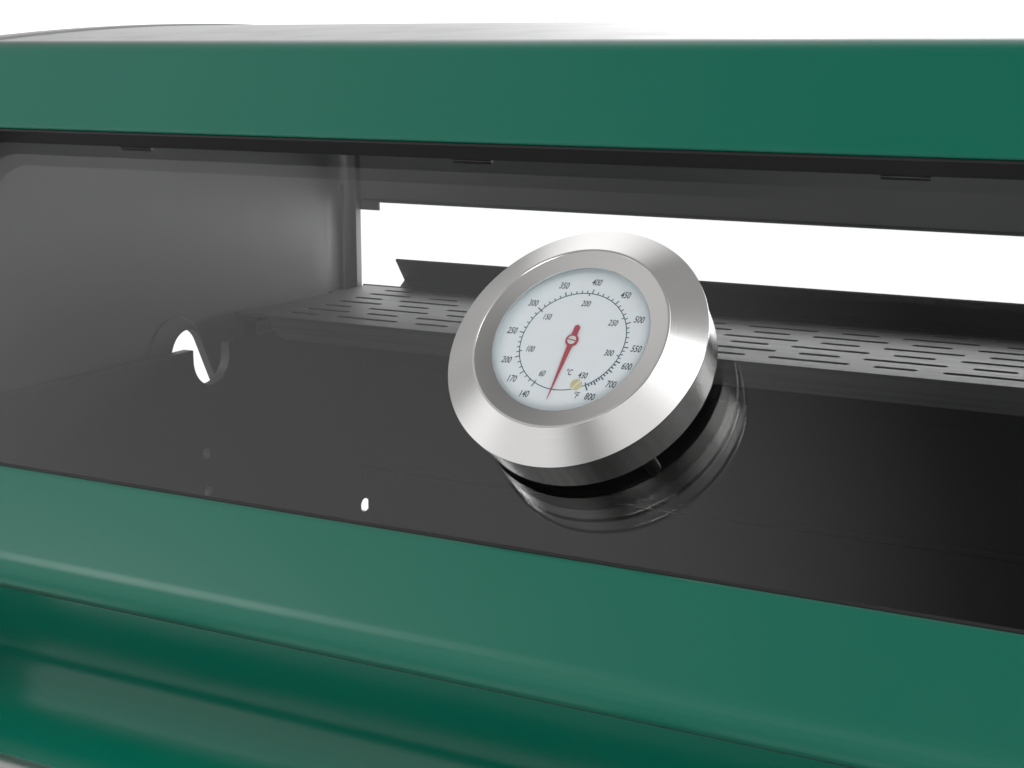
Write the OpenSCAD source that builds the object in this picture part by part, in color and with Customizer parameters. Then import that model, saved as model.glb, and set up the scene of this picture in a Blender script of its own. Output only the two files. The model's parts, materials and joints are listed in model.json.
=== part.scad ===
// Full-size gas grill on a cabinet cart: a hinged hood with a glass window and a dial
// thermometer, a cast firebox with grates, heat tents and three tube burners, a sloped
// control panel, two side shelves and a two-door cabinet that stands on wheels and feet.
// Units are millimetres. The front faces -Y, and the origin is on the ground, under the middle.

/* [Overall] */
// Height of the firebox rim above the ground
rim_h = 996; // [900:1:1060]
// Inner width of the firebox, side wall to side wall
box_w = 654; // [560:1:720]
// Inner depth of the firebox, front wall to back wall
box_d = 377; // [340:1:420]
// Height of the firebox from its bottom edge to its rim
box_h = 266; // [250:1:290]
// How far the middle of the firebox lies behind the middle of the footprint
box_back = 46.5; // [30:0.5:60]

/* [Hood] */
// Lean of the hood's sloped face, back from the vertical, in degrees
lean = 40.8; // [38:0.1:44]
// How far the sloped face stands ahead of the firebox's inner front, at rim height
face_ahead = 29.7; // [26:0.1:36]
// Length of the sloped face from rim height up to the corner of the top fold
face_len = 206.2; // [200:0.1:225]
// Length of the sloped face from rim height down to the rolled lip
face_drop = 21.2; // [18:0.1:24]
// Thickness of the enamelled sheet
sheet_t = 1.2; // [0.8:0.1:2]
// Outer radius of the rolled lip
lip_r = 9; // [7:0.5:11]
// Radius of the fold between the sloped face and the top
fold_r = 14; // [10:0.5:20]
// Slope of the top where it leaves the fold, in degrees
top_slope = 5.7; // [5:0.1:7]
// Radius of the crown of the top
crown_r = 1750; // [1500:10:2200]
// Radius of the fold between the top and the back
back_fold_r = 20; // [14:1:26]
// Thickness of the cast end plates
end_t = 5; // [4:0.5:7]
// Gap between each end plate of the hood and the firebox wall that it hangs over
end_gap = 7; // [6:0.5:9]
// Width of the rim that caps each end of the hood
cap_w = 12; // [9:0.5:16]
// Height of the end cap's rim above the sheet
cap_up = 0.8; // [0.6:0.1:3]
// Height of the rear vent's upper edge above the firebox rim
vent_up = 65; // [60:1:80]

/* [Window] */
// Distance from each inner wall of the firebox in to the window's side edge
window_side = 9; // [6:0.5:20]
// Height of the window opening, along the slope
window_h = 149.7; // [130:0.1:155]
// Distance of the window's lower edge up the slope from rim height
window_up = 10; // [8:0.5:14]
// Radius of the window's corners
window_r = 12; // [8:1:20]
// Depth of the glass behind the face of the sheet
glass_in = 8.5; // [7.5:0.1:10]
// Thickness of the glass
glass_t = 4; // [3:0.5:5]

/* [Thermometer] */
// Outside diameter of the bezel
bezel_d = 85; // [70:1:95]
// Place of the thermometer's middle, up the slope from rim height
gauge_up = 75.7; // [70:0.1:90]
// Diameter of the dial that shows
dial_d = 51.4; // [42:0.1:56]
// Length of the probe behind the glass
probe_len = 58; // [40:1:70]

/* [Inside] */
// Height of the warming rack above the firebox rim
rack_up = 14; // [12:0.5:18]
// Depth of the warming rack, front to back
rack_d = 121; // [110:0.5:125]
// Depth of the cooking grates' top below the firebox rim
grate_down = 136; // [120:1:145]
// Height of the grate bars
grate_h = 14; // [11:0.5:16]
// Outside diameter of a burner tube
burner_d = 25; // [22:0.5:28]

/* [Front] */
// Distance of the upright fascia ahead of the firebox's inner front
fascia_ahead = 22; // [20:0.5:24]
// Slope of the control panel from the vertical, in degrees
panel_tilt = 20; // [16:0.5:22]
// Length of the sloped part of the control panel
panel_len = 165; // [155:1:172]
// Diameter of a control knob
knob_d = 48; // [40:1:52]
// Height of a control knob
knob_h = 34; // [28:1:38]

/* [Handle] */
// Outside diameter of the hood handle
handle_d = 24; // [20:1:28]
// Length of the hood handle
handle_len = 580; // [500:1:600]

/* [Shelves and cabinet] */
// Width of one side shelf
shelf_w = 300; // [240:1:340]
// Height of the shelf tops below the firebox rim
shelf_down = 101; // [96:1:106]
// Depth of a shelf, front to back
shelf_d = 405; // [360:1:420]
// Thickness of a cabinet side, between its skin and the edge of its flanges
side_t = 18; // [14:0.5:22]
// Height of the cabinet floor above the ground
floor_h = 92; // [88:1:110]
// Thickness of a door
door_t = 20; // [16:0.5:24]
// Diameter of a wheel
wheel_d = 90; // [80:1:94]

/* [Hidden] */
$fn = 48;

// Overrun of every cut, and the small clearances between neighbours
over = 1;
seat = 0.3;
running = 0.05;

// Firebox walls and the planes that the rest is set out from
wall = 6;
front_y = box_back - box_d / 2;
back_y = box_back + box_d / 2;
in_x = box_w / 2;
window_w = box_w - 2 * window_side;
out_x = in_x + wall;
bottom_z = rim_h - box_h;

// Hood planes: inner and outer face of the end plates, and the end of the cap's rim
end_in = out_x + end_gap;
end_out = end_in + end_t;
cap_out = end_out + cap_w;

// The sloped face: its point at rim height, the direction up it and the direction out of it
face_y = front_y - face_ahead;
up_slope = [sin(lean), cos(lean)];
outward = [-cos(lean), sin(lean)];
function face_point(up, out) = [face_y, rim_h] + up * up_slope + out * outward;

// Hinge of the hood
hinge_in = 13;
hinge_down = 12;
hinge_y = back_y - hinge_in;
hinge_z = rim_h - hinge_down;
pin_d = 8;
pin_head_d = 13.6;
ear_r = 14;

// Rolled lip
lip_turn = 150;
lip_return = 6;
lip_steps = 10;
lip_c = face_point(-face_drop, -lip_r);
lip_end_angle = 180 - lean + lip_turn;

// Top fold, crown and back fold of the hood
fold_c = face_point(face_len - fold_r * tan((90 - lean - top_slope) / 2), -fold_r);
fold_end = 90 + top_slope;
fold_steps = 6;
crown_c = fold_c + (fold_r - crown_r) * [cos(fold_end), sin(fold_end)];
shell_back = back_y + 2 * sheet_t;
crown_end = acos((shell_back - back_fold_r - crown_c.x) / (crown_r - back_fold_r));
crown_steps = 12;
back_c = crown_c + (crown_r - back_fold_r) * [cos(crown_end), sin(crown_end)];
back_fold_steps = 6;
back_lap = 24;

// Points on an arc, in the plane that is drawn
function arc_points(c, r, from, to, steps) =
  [for (i = [0:steps]) c + r * [cos(from + (to - from) * i / steps), sin(from + (to - from) * i / steps)]];

// Closed outline of a sheet: an open path and its copy, moved sideways by the thickness
function unit(v) = v / norm(v);
function left_of(v) = [-v.y, v.x];
function mitre(p, i) =
  let (n = len(p),
       a = i == 0 ? unit(p[1] - p[0]) : unit(p[i] - p[i - 1]),
       b = i == n - 1 ? a : unit(p[i + 1] - p[i]))
  left_of(a + b) / (1 + a * b);
function shifted(p, t) = [for (i = [0:len(p) - 1]) p[i] + t * mitre(p, i)];
function reversed(p) = [for (i = [len(p) - 1:-1:0]) p[i]];
function strip(p, t) = concat(p, reversed(shifted(p, t)));

// Outer path of the hood's sheet, from the end of the lip to the end of the back lap
lip_end = lip_c + lip_r * [cos(lip_end_angle), sin(lip_end_angle)];
lip_way = [sin(lip_end_angle), -cos(lip_end_angle)];
face_path = concat([lip_end - lip_return * lip_way],
  arc_points(lip_c, lip_r, lip_end_angle, 180 - lean, lip_steps));
roof_path = concat(arc_points(fold_c, fold_r, 180 - lean, fold_end, fold_steps),
  [for (i = [1:crown_steps]) crown_c + crown_r * [cos(fold_end + (crown_end - fold_end) * i / crown_steps),
                                                  sin(fold_end + (crown_end - fold_end) * i / crown_steps)]],
  [for (i = [1:back_fold_steps]) back_c + back_fold_r * [cos(crown_end * (1 - i / back_fold_steps)),
                                                         sin(crown_end * (1 - i / back_fold_steps))]],
  [[shell_back, back_c.y - back_lap]]);
hood_path = concat(face_path, roof_path);

// Rotisserie notches in the end plates and in the firebox walls
notch_in = 141;
notch_y = back_y - notch_in;
notch_r = 14.8;
notch_down = 5.6;
bell_y = notch_y - 4.5;
bell_r = 13.3;
bell_up = 4.8;
bell_lean = 26;
bell_rim_r = 21;
bell_rim_ahead = 8.9;
bell_rim_t = 1.2;

// End plate of the hood
plate_in = 0.2;
hem_up = 4;
flange_t = 5;
flange_w = 12.8;
corner_r = 12;
flange_up = 10;
flange_over = 21;
ridge_w = 2.8;
ridge_in = 2.8;
ridge_out = 3.5;
ridge_h = 64.7;
cap_in = 9;
hem_gap = 2.2;

// Rear panel of the hood
panel_gap = 0.2;
hem = 3;
tab_w = 13;
tab_h = 5;

// Window frame, gasket and clips
frame_t = 1.2;
frame_back = 9;
frame_low = 0.6;
gasket_w = 4;
glass_over = 5;
clip_w = 16;
clip_t = 1.5;
clip_in = 1;
clip_count = 4;
clip_gap = 0.3;
screw_head_d = 7;
screw_head_h = 2.4;

// Thermometer, measured out from the face of the sheet
rim_up = 10.2;
bezel_base = -4.3;
crest_up = 15.4;
crest_r_share = 0.746;
bead = 1.4;
bezel_wall = 2;
lens_t = 0.8;
lens_up = 13.9;
dial_up = 12.6;
dial_t = 0.8;
needle_up = 12.9;
needle_t = 0.3;
needle_len = 21.3;
needle_tail = 4.6;
needle_hub_d = 4.2;
needle_w = 1.8;
needle_rest = 183.6;
needle_pin_d = 1;
needle_pin_len = 6;
brass_r = 1.9;
brass_out = 16.3;
brass_turn = 156.9;
gauge_gasket_d = 74;
stem_d = 8;
probe_d = 5;
thread_len = 10;
nut_w = 22;
nut_h = 5;
hole_gap = 0.5;

// Handle and its posts
handle_ahead = 98;
handle_down = 78;
post_in = 18;
post_w = 16;
post_t = 14;
post_foot_h = 24;
post_low = hem_up - face_drop;
screw_in = 4.2;
screw_step = 9;
back_screw_step = 14;

// Firebox castings
ledge_t = 6;
ledge_front = 24;
foot_front = 32;
foot_back = 25;
corner_cut_y = 54;
corner_cut_z = 60;
hex_down = 56.5;
hex_step = 20.7;
hex_d = 7;
hex_ahead = 7;
oval_down = 120.7;
oval_in = 1.4;
oval_w = 7.9;
oval_h = 8.5;
oval_over = 1.5;
post_h = rack_up;
rest_w = 10;
rest_in = 9;
rest_t = 4;
rest_gap = 8;
rest_front = back_y - rack_d + rest_gap;
rest_back = back_y - 2 * rest_gap;
rail_h = 36;
rail_lip = 15;
rail_t = 4;
ear_t = 5;
ear_gap = 1;

// Firebox front and back walls
lining_t = 1.5;
front_down = 8;
grate_ledge = 20;
bead_down = 95;
bead_h = 6;
bead_out = 2.5;
joggle_down = 31.5;
joggle = 0.8;
back_up = 15.5;
tent_ledge = 12;
tent_tab_w = 16;

// Rear deflector above the back wall
baffle_half = 301.7;
baffle_leg = 40;
baffle_back = 5;
baffle_rise = 3.2;
baffle_ahead = 9.5;
baffle_up = 13;
baffle_t = 1.2;

// Warming rack: staggered slots, long and short in turn
slot_w = 4.6;
slot_long = 38.5;
slot_short = 20;
slot_pitch = 40;
slot_shift = 6.7;
slot_cols = 16;
slot_rows = 7;
row_pitch = 15.33;
row_in = 15.9;
slot_edge = 17.8;
rack_lip = 12;
rack_lip_in = 21.3;
rack_lip_r = 10;
rack_t = 1.2;
rack_gap = 2.7;
rack_back_gap = 0.3;

// Control panel
fascia_down = 14;
fascia_h = 50;
panel_r = 20;
panel_steps = 6;
panel_t = 1.5;
panel_out = out_x + 2;
panel_hem = 30;
cheek_t = 1.7;
cheek_lap = 22;

// Grates, heat tents and burners
grates = 3;
grate_gap = 1.5;
bar_count = 10;
bar_w = 7;
bar_top_share = 0.6;
rib_w = 7;
tent_w = 112;
tent_h = 26;
tent_t = 1.2;
tent_gap = 4;
burner_down = 188;
burner_bore_wall = 1.2;
throat_d = 18;
throat_len = 44;
bell_d = 27;
bell_len = 8;
port_d = 2.4;
port_count = 14;
port_in = 26;
port_tilt = 25;
burner_back_gap = 12;
peg_d = 10;

// Manifold, valves, knobs and bezels
manifold_d = 16;
manifold_bore = 6;
manifold_ahead = 30;
manifold_down = 211;
bracket_t = 3;
bracket_up = 18;
knob_along = 110;
valve_d = 24;
valve_len = 24;
valve_back = 30;
block_w = 20;
nozzle_d = 9;
stem_r = 3;
ring_d = 60;
ring_t = 3;
ring_gap = 0.3;
knob_skirt = 6;
grip_w = 12;
knob_bore_deep = 14;
inlet_d = 14;
inlet_len = 26;
inlet_hex = 22;

// Igniter
igniter_x = (burner_x(1) + burner_x(2)) / 2;
button_d = 16;
button_h = 12;
button_travel = 5;
collar_d = 30;
collar_t = 4;
sleeve_len = 24;
electrode_d = 4;
electrode_len = 34;

// Grease tray and cup
tray_wall = 1.2;
tray_h = 18;
tray_gap = 1.5;
tray_front = 20;
tray_back = 10;
drip_d = 40;
hanger_w = 12;
hanger_h = 8;
cup_d = 90;
cup_h = 58;
cup_rim = 5;
cup_wall = 1.2;

// Shelves
shelf_t = 24;
shelf_skin = 1.2;
shelf_front = 75;
shelf_gap = 20;
arm_w = 20;
arm_h = 20;
arm_in = 60;
shelf_corner_r = 30;

// Cabinet
skin = 1.5;
side_front = 46;
side_top = 224;
back_top = 600;
flange = 18;
rail_deep = 26;
rail_high = 25;
lug_t = 3;
lug_in = 25;
lug_out = 29;
toe_gap = 12;

// Doors
door_gap = 3;
door_top_gap = 12;
door_pin_in = 8;
door_pin_d = 6;
bar_d = 12;
bar_len = 240;
bar_out = 34;
bar_in = 36;
bar_post_d = 9;
bar_top_in = 90;

// Wheels and feet
wheel_w = 30;
hub_d = 34;
hub_over = 3;
tread_r = 5;
axle_d = 10;
wheel_in = 27;
wheel_x = in_x - wheel_in;
wheel_end_in = 44;
fork_t = 3;
fork_gap = 4;
fork_w = 34;
foot_x = wheel_x;
foot_pad_d = 44;
foot_pad_h = 12;
foot_stem_d = 14;
foot_neck = 6;

// Draws a profile of the Y-Z plane as a solid from x0 to x1
module across(x0, x1) {
  translate([x0, 0, 0]) rotate([90, 0, 90]) linear_extrude(x1 - x0) children();
}
// Box from one corner to the other
module block(a, b) {
  translate(a) cube(b - a);
}
// Places its children on the sloped face: X stays, Y runs up the slope, Z points out of it
module on_slope(up) {
  translate([0, face_y + up * up_slope.x, rim_h + up * up_slope.y]) rotate([90 - lean, 0, 0]) children();
}
// Repeats its children on both sides
module both_sides() {
  children();
  mirror([1, 0, 0]) children();
}
module rounded(w, h, r) {
  translate([r - w / 2, r - h / 2]) square([w - 2 * r, h - 2 * r]);
  for (x = [-1, 1]) {
    translate([x > 0 ? w / 2 - r : -w / 2, r - h / 2]) square([r, h - 2 * r]);
    translate([r - w / 2, x > 0 ? h / 2 - r : -h / 2]) square([w - 2 * r, r]);
    for (y = [-1, 1]) translate([x * (w / 2 - r), y * (h / 2 - r)]) circle(r);
  }
}
module window_outline(grow) {
  translate([0, window_h / 2]) rounded(window_w + 2 * grow, window_h + 2 * grow, window_r + grow);
}

// Hood

module hood_shell() {
  color("#1d5a49") difference() {
    across(seat - end_out, end_out - seat) polygon(strip(hood_path, -sheet_t));
    on_slope(window_up) translate([0, 0, -frame_back]) linear_extrude(2 * frame_back) window_outline(0);
  }
}

// Outline of an end plate: the inside of the sheet, the back edge, the hinge eye and the hem
module end_outline() {
  inner = shifted(roof_path, -sheet_t - plate_in);
  low = face_point(-face_drop, -sheet_t - plate_in);
  hem_z = hinge_z - ear_r;
  eye = arc_points([hinge_y, hinge_z], ear_r, 0, -90, fold_steps);
  polygon(concat([[low.x + hem_up, hem_z], low], inner, [[hinge_y + ear_r, inner[len(inner) - 1].y]], eye));
}
// Bell-shaped notch that a spit rod passes through
module bell(ahead, r) {
  top = rim_h - bell_up + r * sin(bell_lean);
  low = hinge_z - ear_r - over;
  wide = r * cos(bell_lean) + (top - low) * tan(bell_lean);
  translate([bell_y - ahead, 0]) {
    translate([0, rim_h - bell_up]) circle(r);
    polygon([[-r * cos(bell_lean), top], [r * cos(bell_lean), top], [wide, low], [-wide, low]]);
  }
}
module cap_outline() {
  outer = shifted(hood_path, cap_up);
  inner = shifted(hood_path, -cap_in);
  first = lip_steps + 1;
  last = len(hood_path) - 1;
  polygon(concat([for (i = [first:last]) outer[i]], [for (i = [last:-1:first]) inner[i]]));
}
module end_plate() {
  difference() {
    union() {
      across(end_in, end_out) end_outline();
      across(end_out, cap_out) cap_outline();
      difference() {
        across(end_in - bell_rim_t, end_in) intersection() {
          bell(bell_rim_ahead, bell_rim_r);
          end_outline();
        }
        block([out_x, hinge_y - ear_r, bottom_z], [end_in, back_y, hinge_z]);
      }
      translate([0, 0, rim_h + flange_up]) {
        linear_extrude(vent_up + back_lap + flange_over) difference() {
          translate([end_in - flange_w, back_y - flange_t - corner_r])
            square([flange_w + end_t / 2, corner_r + flange_t]);
          translate([end_in - corner_r, back_y - flange_t - corner_r]) circle(corner_r);
        }
        block([end_in - ridge_in - ridge_w, back_y - flange_t - ridge_out, 0],
          [end_in - ridge_in, back_y - flange_t / 2, ridge_h]);
      }
    }
    across(out_x, cap_out) bell(0, bell_r);
    translate([end_in - over, hinge_y, hinge_z]) rotate([0, 90, 0])
      cylinder(d = pin_d + 2 * running, h = end_t + 2 * over);
  }
}
module hood_side_left() {
  color("#3c3c3b") mirror([1, 0, 0]) end_plate();
}
module hood_side_right() {
  color("#3c3c3b") end_plate();
}

module hood_rear_panel() {
  low = rim_h + vent_up;
  high = back_c.y;
  color("#3a3a39") {
    block([panel_gap - end_in, back_y, low], [end_in - panel_gap, back_y + sheet_t, high]);
    block([hem - end_in + flange_w, back_y - hem, low], [end_in - flange_w - hem, back_y, low + sheet_t]);
    both_sides() block([end_in - flange_w - tab_w, back_y, low - tab_h],
      [end_in - panel_gap, back_y + sheet_t, low]);
  }
}

module window_frame() {
  color("#161616") on_slope(window_up) difference() {
    union() {
      translate([0, 0, -glass_in]) linear_extrude(glass_in - frame_low) window_outline(-seat);
      translate([0, 0, -sheet_t - frame_t]) linear_extrude(frame_t - running) window_outline(frame_back);
    }
    translate([0, 0, -glass_in - over]) linear_extrude(glass_in + 2 * over) window_outline(-seat - frame_t);
  }
}
module window_gasket() {
  color("#0d0d0d") on_slope(window_up) translate([0, 0, -glass_in])
    linear_extrude(glass_in - sheet_t - frame_t) difference() {
      window_outline(gasket_w);
      window_outline(0);
    }
}
module window_glass() {
  color("#8a9396", 0.4) on_slope(window_up) difference() {
    translate([0, 0, -glass_in - glass_t]) linear_extrude(glass_t) window_outline(glass_over);
    translate([0, gauge_up - window_up, -glass_in - glass_t - over])
      cylinder(d = stem_d + 2 * hole_gap, h = glass_t + 2 * over);
  }
}
// Spring clips that hold the glass from behind, each with its screw
module window_clips() {
  deep = glass_in + glass_t + clip_gap;
  foot = sheet_t + frame_t;
  edge = glass_over + clip_gap;
  color("#6a6a68") on_slope(window_up)
    for (i = [0:clip_count - 1], top = [0, 1])
      translate([window_w * ((i + 0.5) / clip_count - 0.5), top * window_h, 0]) mirror([0, 1 - top, 0]) {
        block([-clip_w / 2, edge, -deep], [clip_w / 2, edge + clip_t, -foot]);
        block([-clip_w / 2, clip_in, -deep - clip_t], [clip_w / 2, edge + clip_t, -deep]);
      }
}

// Handle, posts and the screws of the hood

handle_y = front_y - handle_ahead + fascia_ahead / 2;
handle_z = rim_h - handle_down;

module hood_handle() {
  color("#b9bab8") translate([-handle_len / 2, handle_y, handle_z]) rotate([0, 90, 0]) {
    cylinder(d = handle_d, h = handle_len);
    for (end = [0, 1]) translate([0, 0, end * handle_len]) sphere(d = handle_d);
  }
}
// Cast post: a foot on the sloped face, and an arm that drops to the eye round the handle
module handle_post() {
  foot_low = face_point(post_low, 0);
  foot_high = face_point(post_low + post_foot_h, 0);
  arm_high = face_point(post_low + post_foot_h - post_t / 2, post_t);
  arm_low = face_point(post_low, post_t / 3);
  eye_r = handle_d / 2 + wall / 2;
  difference() {
    union() {
      across(-post_w / 2, post_w / 2) polygon([foot_low, foot_high, arm_high,
        [handle_y - eye_r / 2, handle_z + eye_r], [handle_y - eye_r, handle_z], [handle_y + eye_r, handle_z],
        arm_low]);
      translate([-post_w / 2, handle_y, handle_z]) rotate([0, 90, 0]) cylinder(r = eye_r, h = post_w);
    }
    translate([-post_w, handle_y, handle_z]) rotate([0, 90, 0])
      cylinder(d = handle_d, h = 2 * post_w);
  }
}
module handle_posts() {
  color("#2b2b2a") both_sides() translate([handle_len / 2 - post_in, 0, 0]) handle_post();
}
// Screws from inside into the posts, and screws through the rear panel into the end plates
module hood_screws() {
  color("#8d8e8c") both_sides() {
    for (i = [0, 1]) on_slope(post_low + screw_in + i * screw_step)
      translate([handle_len / 2 - post_in, 0, -sheet_t - screw_head_h])
        cylinder(d = screw_head_d, h = screw_head_h);
    for (i = [1, 2])
      translate([end_in - flange_w / 2, back_y + sheet_t, rim_h + vent_up + i * back_screw_step])
        rotate([-90, 0, 0]) cylinder(d = screw_head_d, h = screw_head_h);
  }
}

// Thermometer

module gauge_place() {
  on_slope(gauge_up) children();
}
module thermometer_bezel() {
  r = bezel_d / 2;
  crest_r = r * crest_r_share;
  inner_r = dial_d / 2;
  color("#c9c9c7") gauge_place() rotate_extrude($fn = 96) polygon([
    [stem_d / 2 + hole_gap, bezel_base], [r - bead, bezel_base], [r - bead / 2, rim_up - bead],
    [r, rim_up - bead / 2], [r, rim_up], [crest_r, crest_up], [inner_r, lens_up + lens_t],
    [inner_r, lens_up + lens_t / 2], [inner_r + bezel_wall / 2, lens_up + lens_t / 2],
    [inner_r + bezel_wall / 2, dial_up - dial_t], [inner_r - bezel_wall, dial_up - dial_t],
    [inner_r - bezel_wall, bezel_base + bezel_wall], [stem_d / 2 + hole_gap, bezel_base + bezel_wall]]);
}
module thermometer_gasket() {
  color("#111111") gauge_place() difference() {
    translate([0, 0, running - glass_in])
      cylinder(d = gauge_gasket_d, h = glass_in + bezel_base - 2 * running, $fn = 96);
    translate([0, 0, -glass_in - over]) cylinder(d = stem_d + 2 * hole_gap, h = glass_in + 2 * over);
  }
}
module thermometer_dial() {
  color("#e8ecee") gauge_place() difference() {
    union() {
      translate([0, 0, dial_up - dial_t])
        cylinder(d = dial_d + bezel_wall - 2 * running, h = dial_t, $fn = 96);
      rotate([0, 0, -brass_turn]) translate([0, brass_out, dial_up]) cylinder(r = brass_r, h = needle_t / 2);
    }
    translate([0, 0, dial_up - 2 * dial_t]) cylinder(d = needle_pin_d + 4 * running, h = 3 * dial_t);
  }
}
module thermometer_lens() {
  color("#dfe8ea", 0.3) gauge_place() translate([0, 0, lens_up - lens_t / 2])
    cylinder(d = dial_d + bezel_wall - 2 * running, h = lens_t, $fn = 96);
}
// The stem carries the coil's housing: a flange behind the dial, a threaded neck and the probe
module thermometer_stem() {
  inside = bezel_base + bezel_wall;
  behind = -glass_in - glass_t;
  color("#a9aaa8") gauge_place() difference() {
    union() {
      translate([0, 0, inside]) cylinder(d = 2 * stem_d, h = dial_up - dial_t - inside);
      translate([0, 0, behind - thread_len]) cylinder(d = stem_d, h = inside - behind + thread_len);
      translate([0, 0, behind - probe_len]) cylinder(d = probe_d, h = probe_len);
      translate([0, 0, behind - probe_len]) sphere(d = probe_d);
    }
    translate([0, 0, dial_up - needle_pin_len - running])
      cylinder(d = needle_pin_d + 2 * running, h = needle_pin_len + over);
  }
}
module thermometer_nut() {
  color("#9b9c9a") gauge_place() translate([0, 0, -glass_in - glass_t - nut_h]) difference() {
    cylinder(d = nut_w, h = nut_h, $fn = 6);
    translate([0, 0, -over]) cylinder(d = stem_d + 2 * running, h = nut_h + 2 * over);
  }
}
module thermometer_needle() {
  color("#b5303f") gauge_place() rotate([0, 0, -needle_rest]) {
    translate([0, 0, needle_up]) {
      cylinder(d = needle_hub_d, h = needle_t);
      linear_extrude(needle_t) polygon([[-needle_w / 2, 0], [0, needle_len], [needle_w / 2, 0]]);
      translate([-needle_w / 2, -needle_tail, 0]) cube([needle_w, needle_tail, needle_t]);
      translate([0, -needle_tail, 0]) cylinder(d = needle_w, h = needle_t);
    }
    translate([0, 0, dial_up - needle_pin_len]) cylinder(d = needle_pin_d, h = needle_pin_len + needle_t);
  }
}

// Hinge pins of the hood: head inside, nut outside

module hood_hinge_pins() {
  ear_in = end_out + ear_gap;
  head = end_gap / 2;
  color("#8d8e8c") both_sides() translate([0, hinge_y, hinge_z]) rotate([0, 90, 0]) {
    translate([0, 0, end_in - head - seat]) cylinder(d = pin_head_d, h = head);
    translate([0, 0, end_in - head]) cylinder(d = pin_d, h = ear_in + ear_t - end_in + head + pin_d / 2);
    translate([0, 0, ear_in + ear_t]) cylinder(d = pin_head_d, h = pin_d / 2, $fn = 6);
  }
}

// Firebox

module firebox_outline() {
  polygon([[front_y, rim_h], [rest_front, rim_h], [rest_front, rim_h + post_h],
    [rest_front + rest_w, rim_h + post_h], [rest_front + rest_w, rim_h], [rest_back - rest_w, rim_h],
    [rest_back - rest_w, rim_h + post_h], [rest_back, rim_h + post_h], [rest_back, rim_h],
    [back_y + joggle, rim_h], [back_y + joggle, rim_h - joggle_down], [back_y, rim_h - joggle_down - joggle],
    [back_y, bottom_z + corner_cut_z], [back_y - corner_cut_y, bottom_z],
    [back_y - corner_cut_y, bottom_z - rail_h], [front_y + corner_cut_y, bottom_z - rail_h],
    [front_y + corner_cut_y, bottom_z], [front_y, bottom_z + corner_cut_z]]);
}
// Opening in the rear corner of the firebox, cut in the side and in the end of the back wall
module oval() {
  translate([back_y - oval_in, rim_h - oval_down]) rotate(90) slot(-oval_h / 2, oval_h / 2, oval_w);
}
module firebox_side() {
  ear_in = end_out + ear_gap;
  ledge_top = hinge_z - ear_r - hem_gap;
  foot_z = rim_h - side_top;
  difference() {
    union() {
      across(in_x, out_x) firebox_outline();
      block([out_x, front_y + ledge_front, ledge_top - ledge_t], [ear_in + ear_t, back_y, ledge_top]);
      across(ear_in, ear_in + ear_t) {
        translate([hinge_y, hinge_z]) circle(pin_d + wall / 2);
        translate([hinge_y - pin_d - wall / 2, ledge_top - ledge_t])
          square([2 * pin_d + wall, hinge_z - ledge_top + ledge_t]);
      }
      block([out_x, front_y + foot_front, foot_z], [out_x + side_t, back_y - foot_back, foot_z + wall]);
      block([in_x - rail_lip, front_y + corner_cut_y, bottom_z - rail_h],
        [in_x, back_y - corner_cut_y, bottom_z - rail_h + rail_t]);
      for (y = [rest_front, rest_back - rest_w])
        block([in_x - rest_in, y, rim_h + post_h - rest_t], [in_x + wall / 2, y + rest_w, rim_h + post_h]);
    }
    across(in_x - over, out_x + over) {
      translate([notch_y, rim_h - notch_down]) circle(notch_r);
      translate([notch_y - notch_r, rim_h - notch_down]) square([2 * notch_r, notch_down + over]);
      for (i = [0, 1]) translate([notch_y - hex_ahead, rim_h - hex_down - i * hex_step])
        rotate(90) circle(d = hex_d, $fn = 6);
      oval();
    }
    translate([ear_in - over, hinge_y, hinge_z]) rotate([0, 90, 0])
      cylinder(d = pin_d + 2 * running, h = ear_t + 2 * over);
  }
}
module firebox_left() {
  color("#434342") mirror([1, 0, 0]) firebox_side();
}
module firebox_right() {
  color("#434342") firebox_side();
}

// Folded walls of the firebox, with a full-width ledge for the grates and tabs for the heat tents
module grate_ledge_strip(y0, y1) {
  block([-in_x, y0, grate_z - lining_t], [in_x, y1, grate_z]);
}
module tent_tabs(y0, y1) {
  z = tent_z - tent_t;
  for (i = [0:2], side = [-1, 1]) {
    x = burner_x(i) + side * tent_w / 2 - tent_tab_w / 2;
    block([x, y0, z - lining_t], [x + tent_tab_w, y1, z]);
  }
}
grate_z = rim_h - grate_down - grate_h;
burner_z = rim_h - burner_down;
tent_z = burner_z + burner_d / 2 - tent_h / 2;
module firebox_front() {
  y = front_y;
  path = [[y, rim_h - front_down], [y, bottom_z + corner_cut_z], [y + corner_cut_y, bottom_z]];
  color("#3f3f3e") difference() {
    union() {
      across(-in_x, in_x) polygon(strip(path, -lining_t));
      grate_ledge_strip(y - lining_t / 2, y + grate_ledge);
      tent_tabs(y - lining_t / 2, y + tent_ledge);
    }
    for (i = [0:2]) translate([burner_x(i), y - over - lining_t, burner_z]) rotate([-90, 0, 0])
      cylinder(d = throat_d + 2 * seat, h = 2 * over + 2 * lining_t);
  }
}
module firebox_back() {
  y = back_y;
  bead_z = rim_h - bead_down;
  path = [[y - corner_cut_y, bottom_z], [y, bottom_z + corner_cut_z], [y, bead_z - bead_h / 2],
    [y - bead_out, bead_z - bead_h / 4], [y - bead_out, bead_z + bead_h / 4], [y, bead_z + bead_h / 2],
    [y, rim_h - joggle_down - joggle], [y + joggle, rim_h - joggle_down], [y + joggle, rim_h + back_up]];
  color("#3f3f3e") difference() {
    union() {
      across(-in_x, in_x) polygon(strip(path, -lining_t));
      grate_ledge_strip(y - grate_ledge, y + lining_t / 2);
      tent_tabs(y - tent_ledge, y + lining_t / 2);
    }
    both_sides() across(in_x - oval_over, in_x + over) oval();
  }
}
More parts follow.
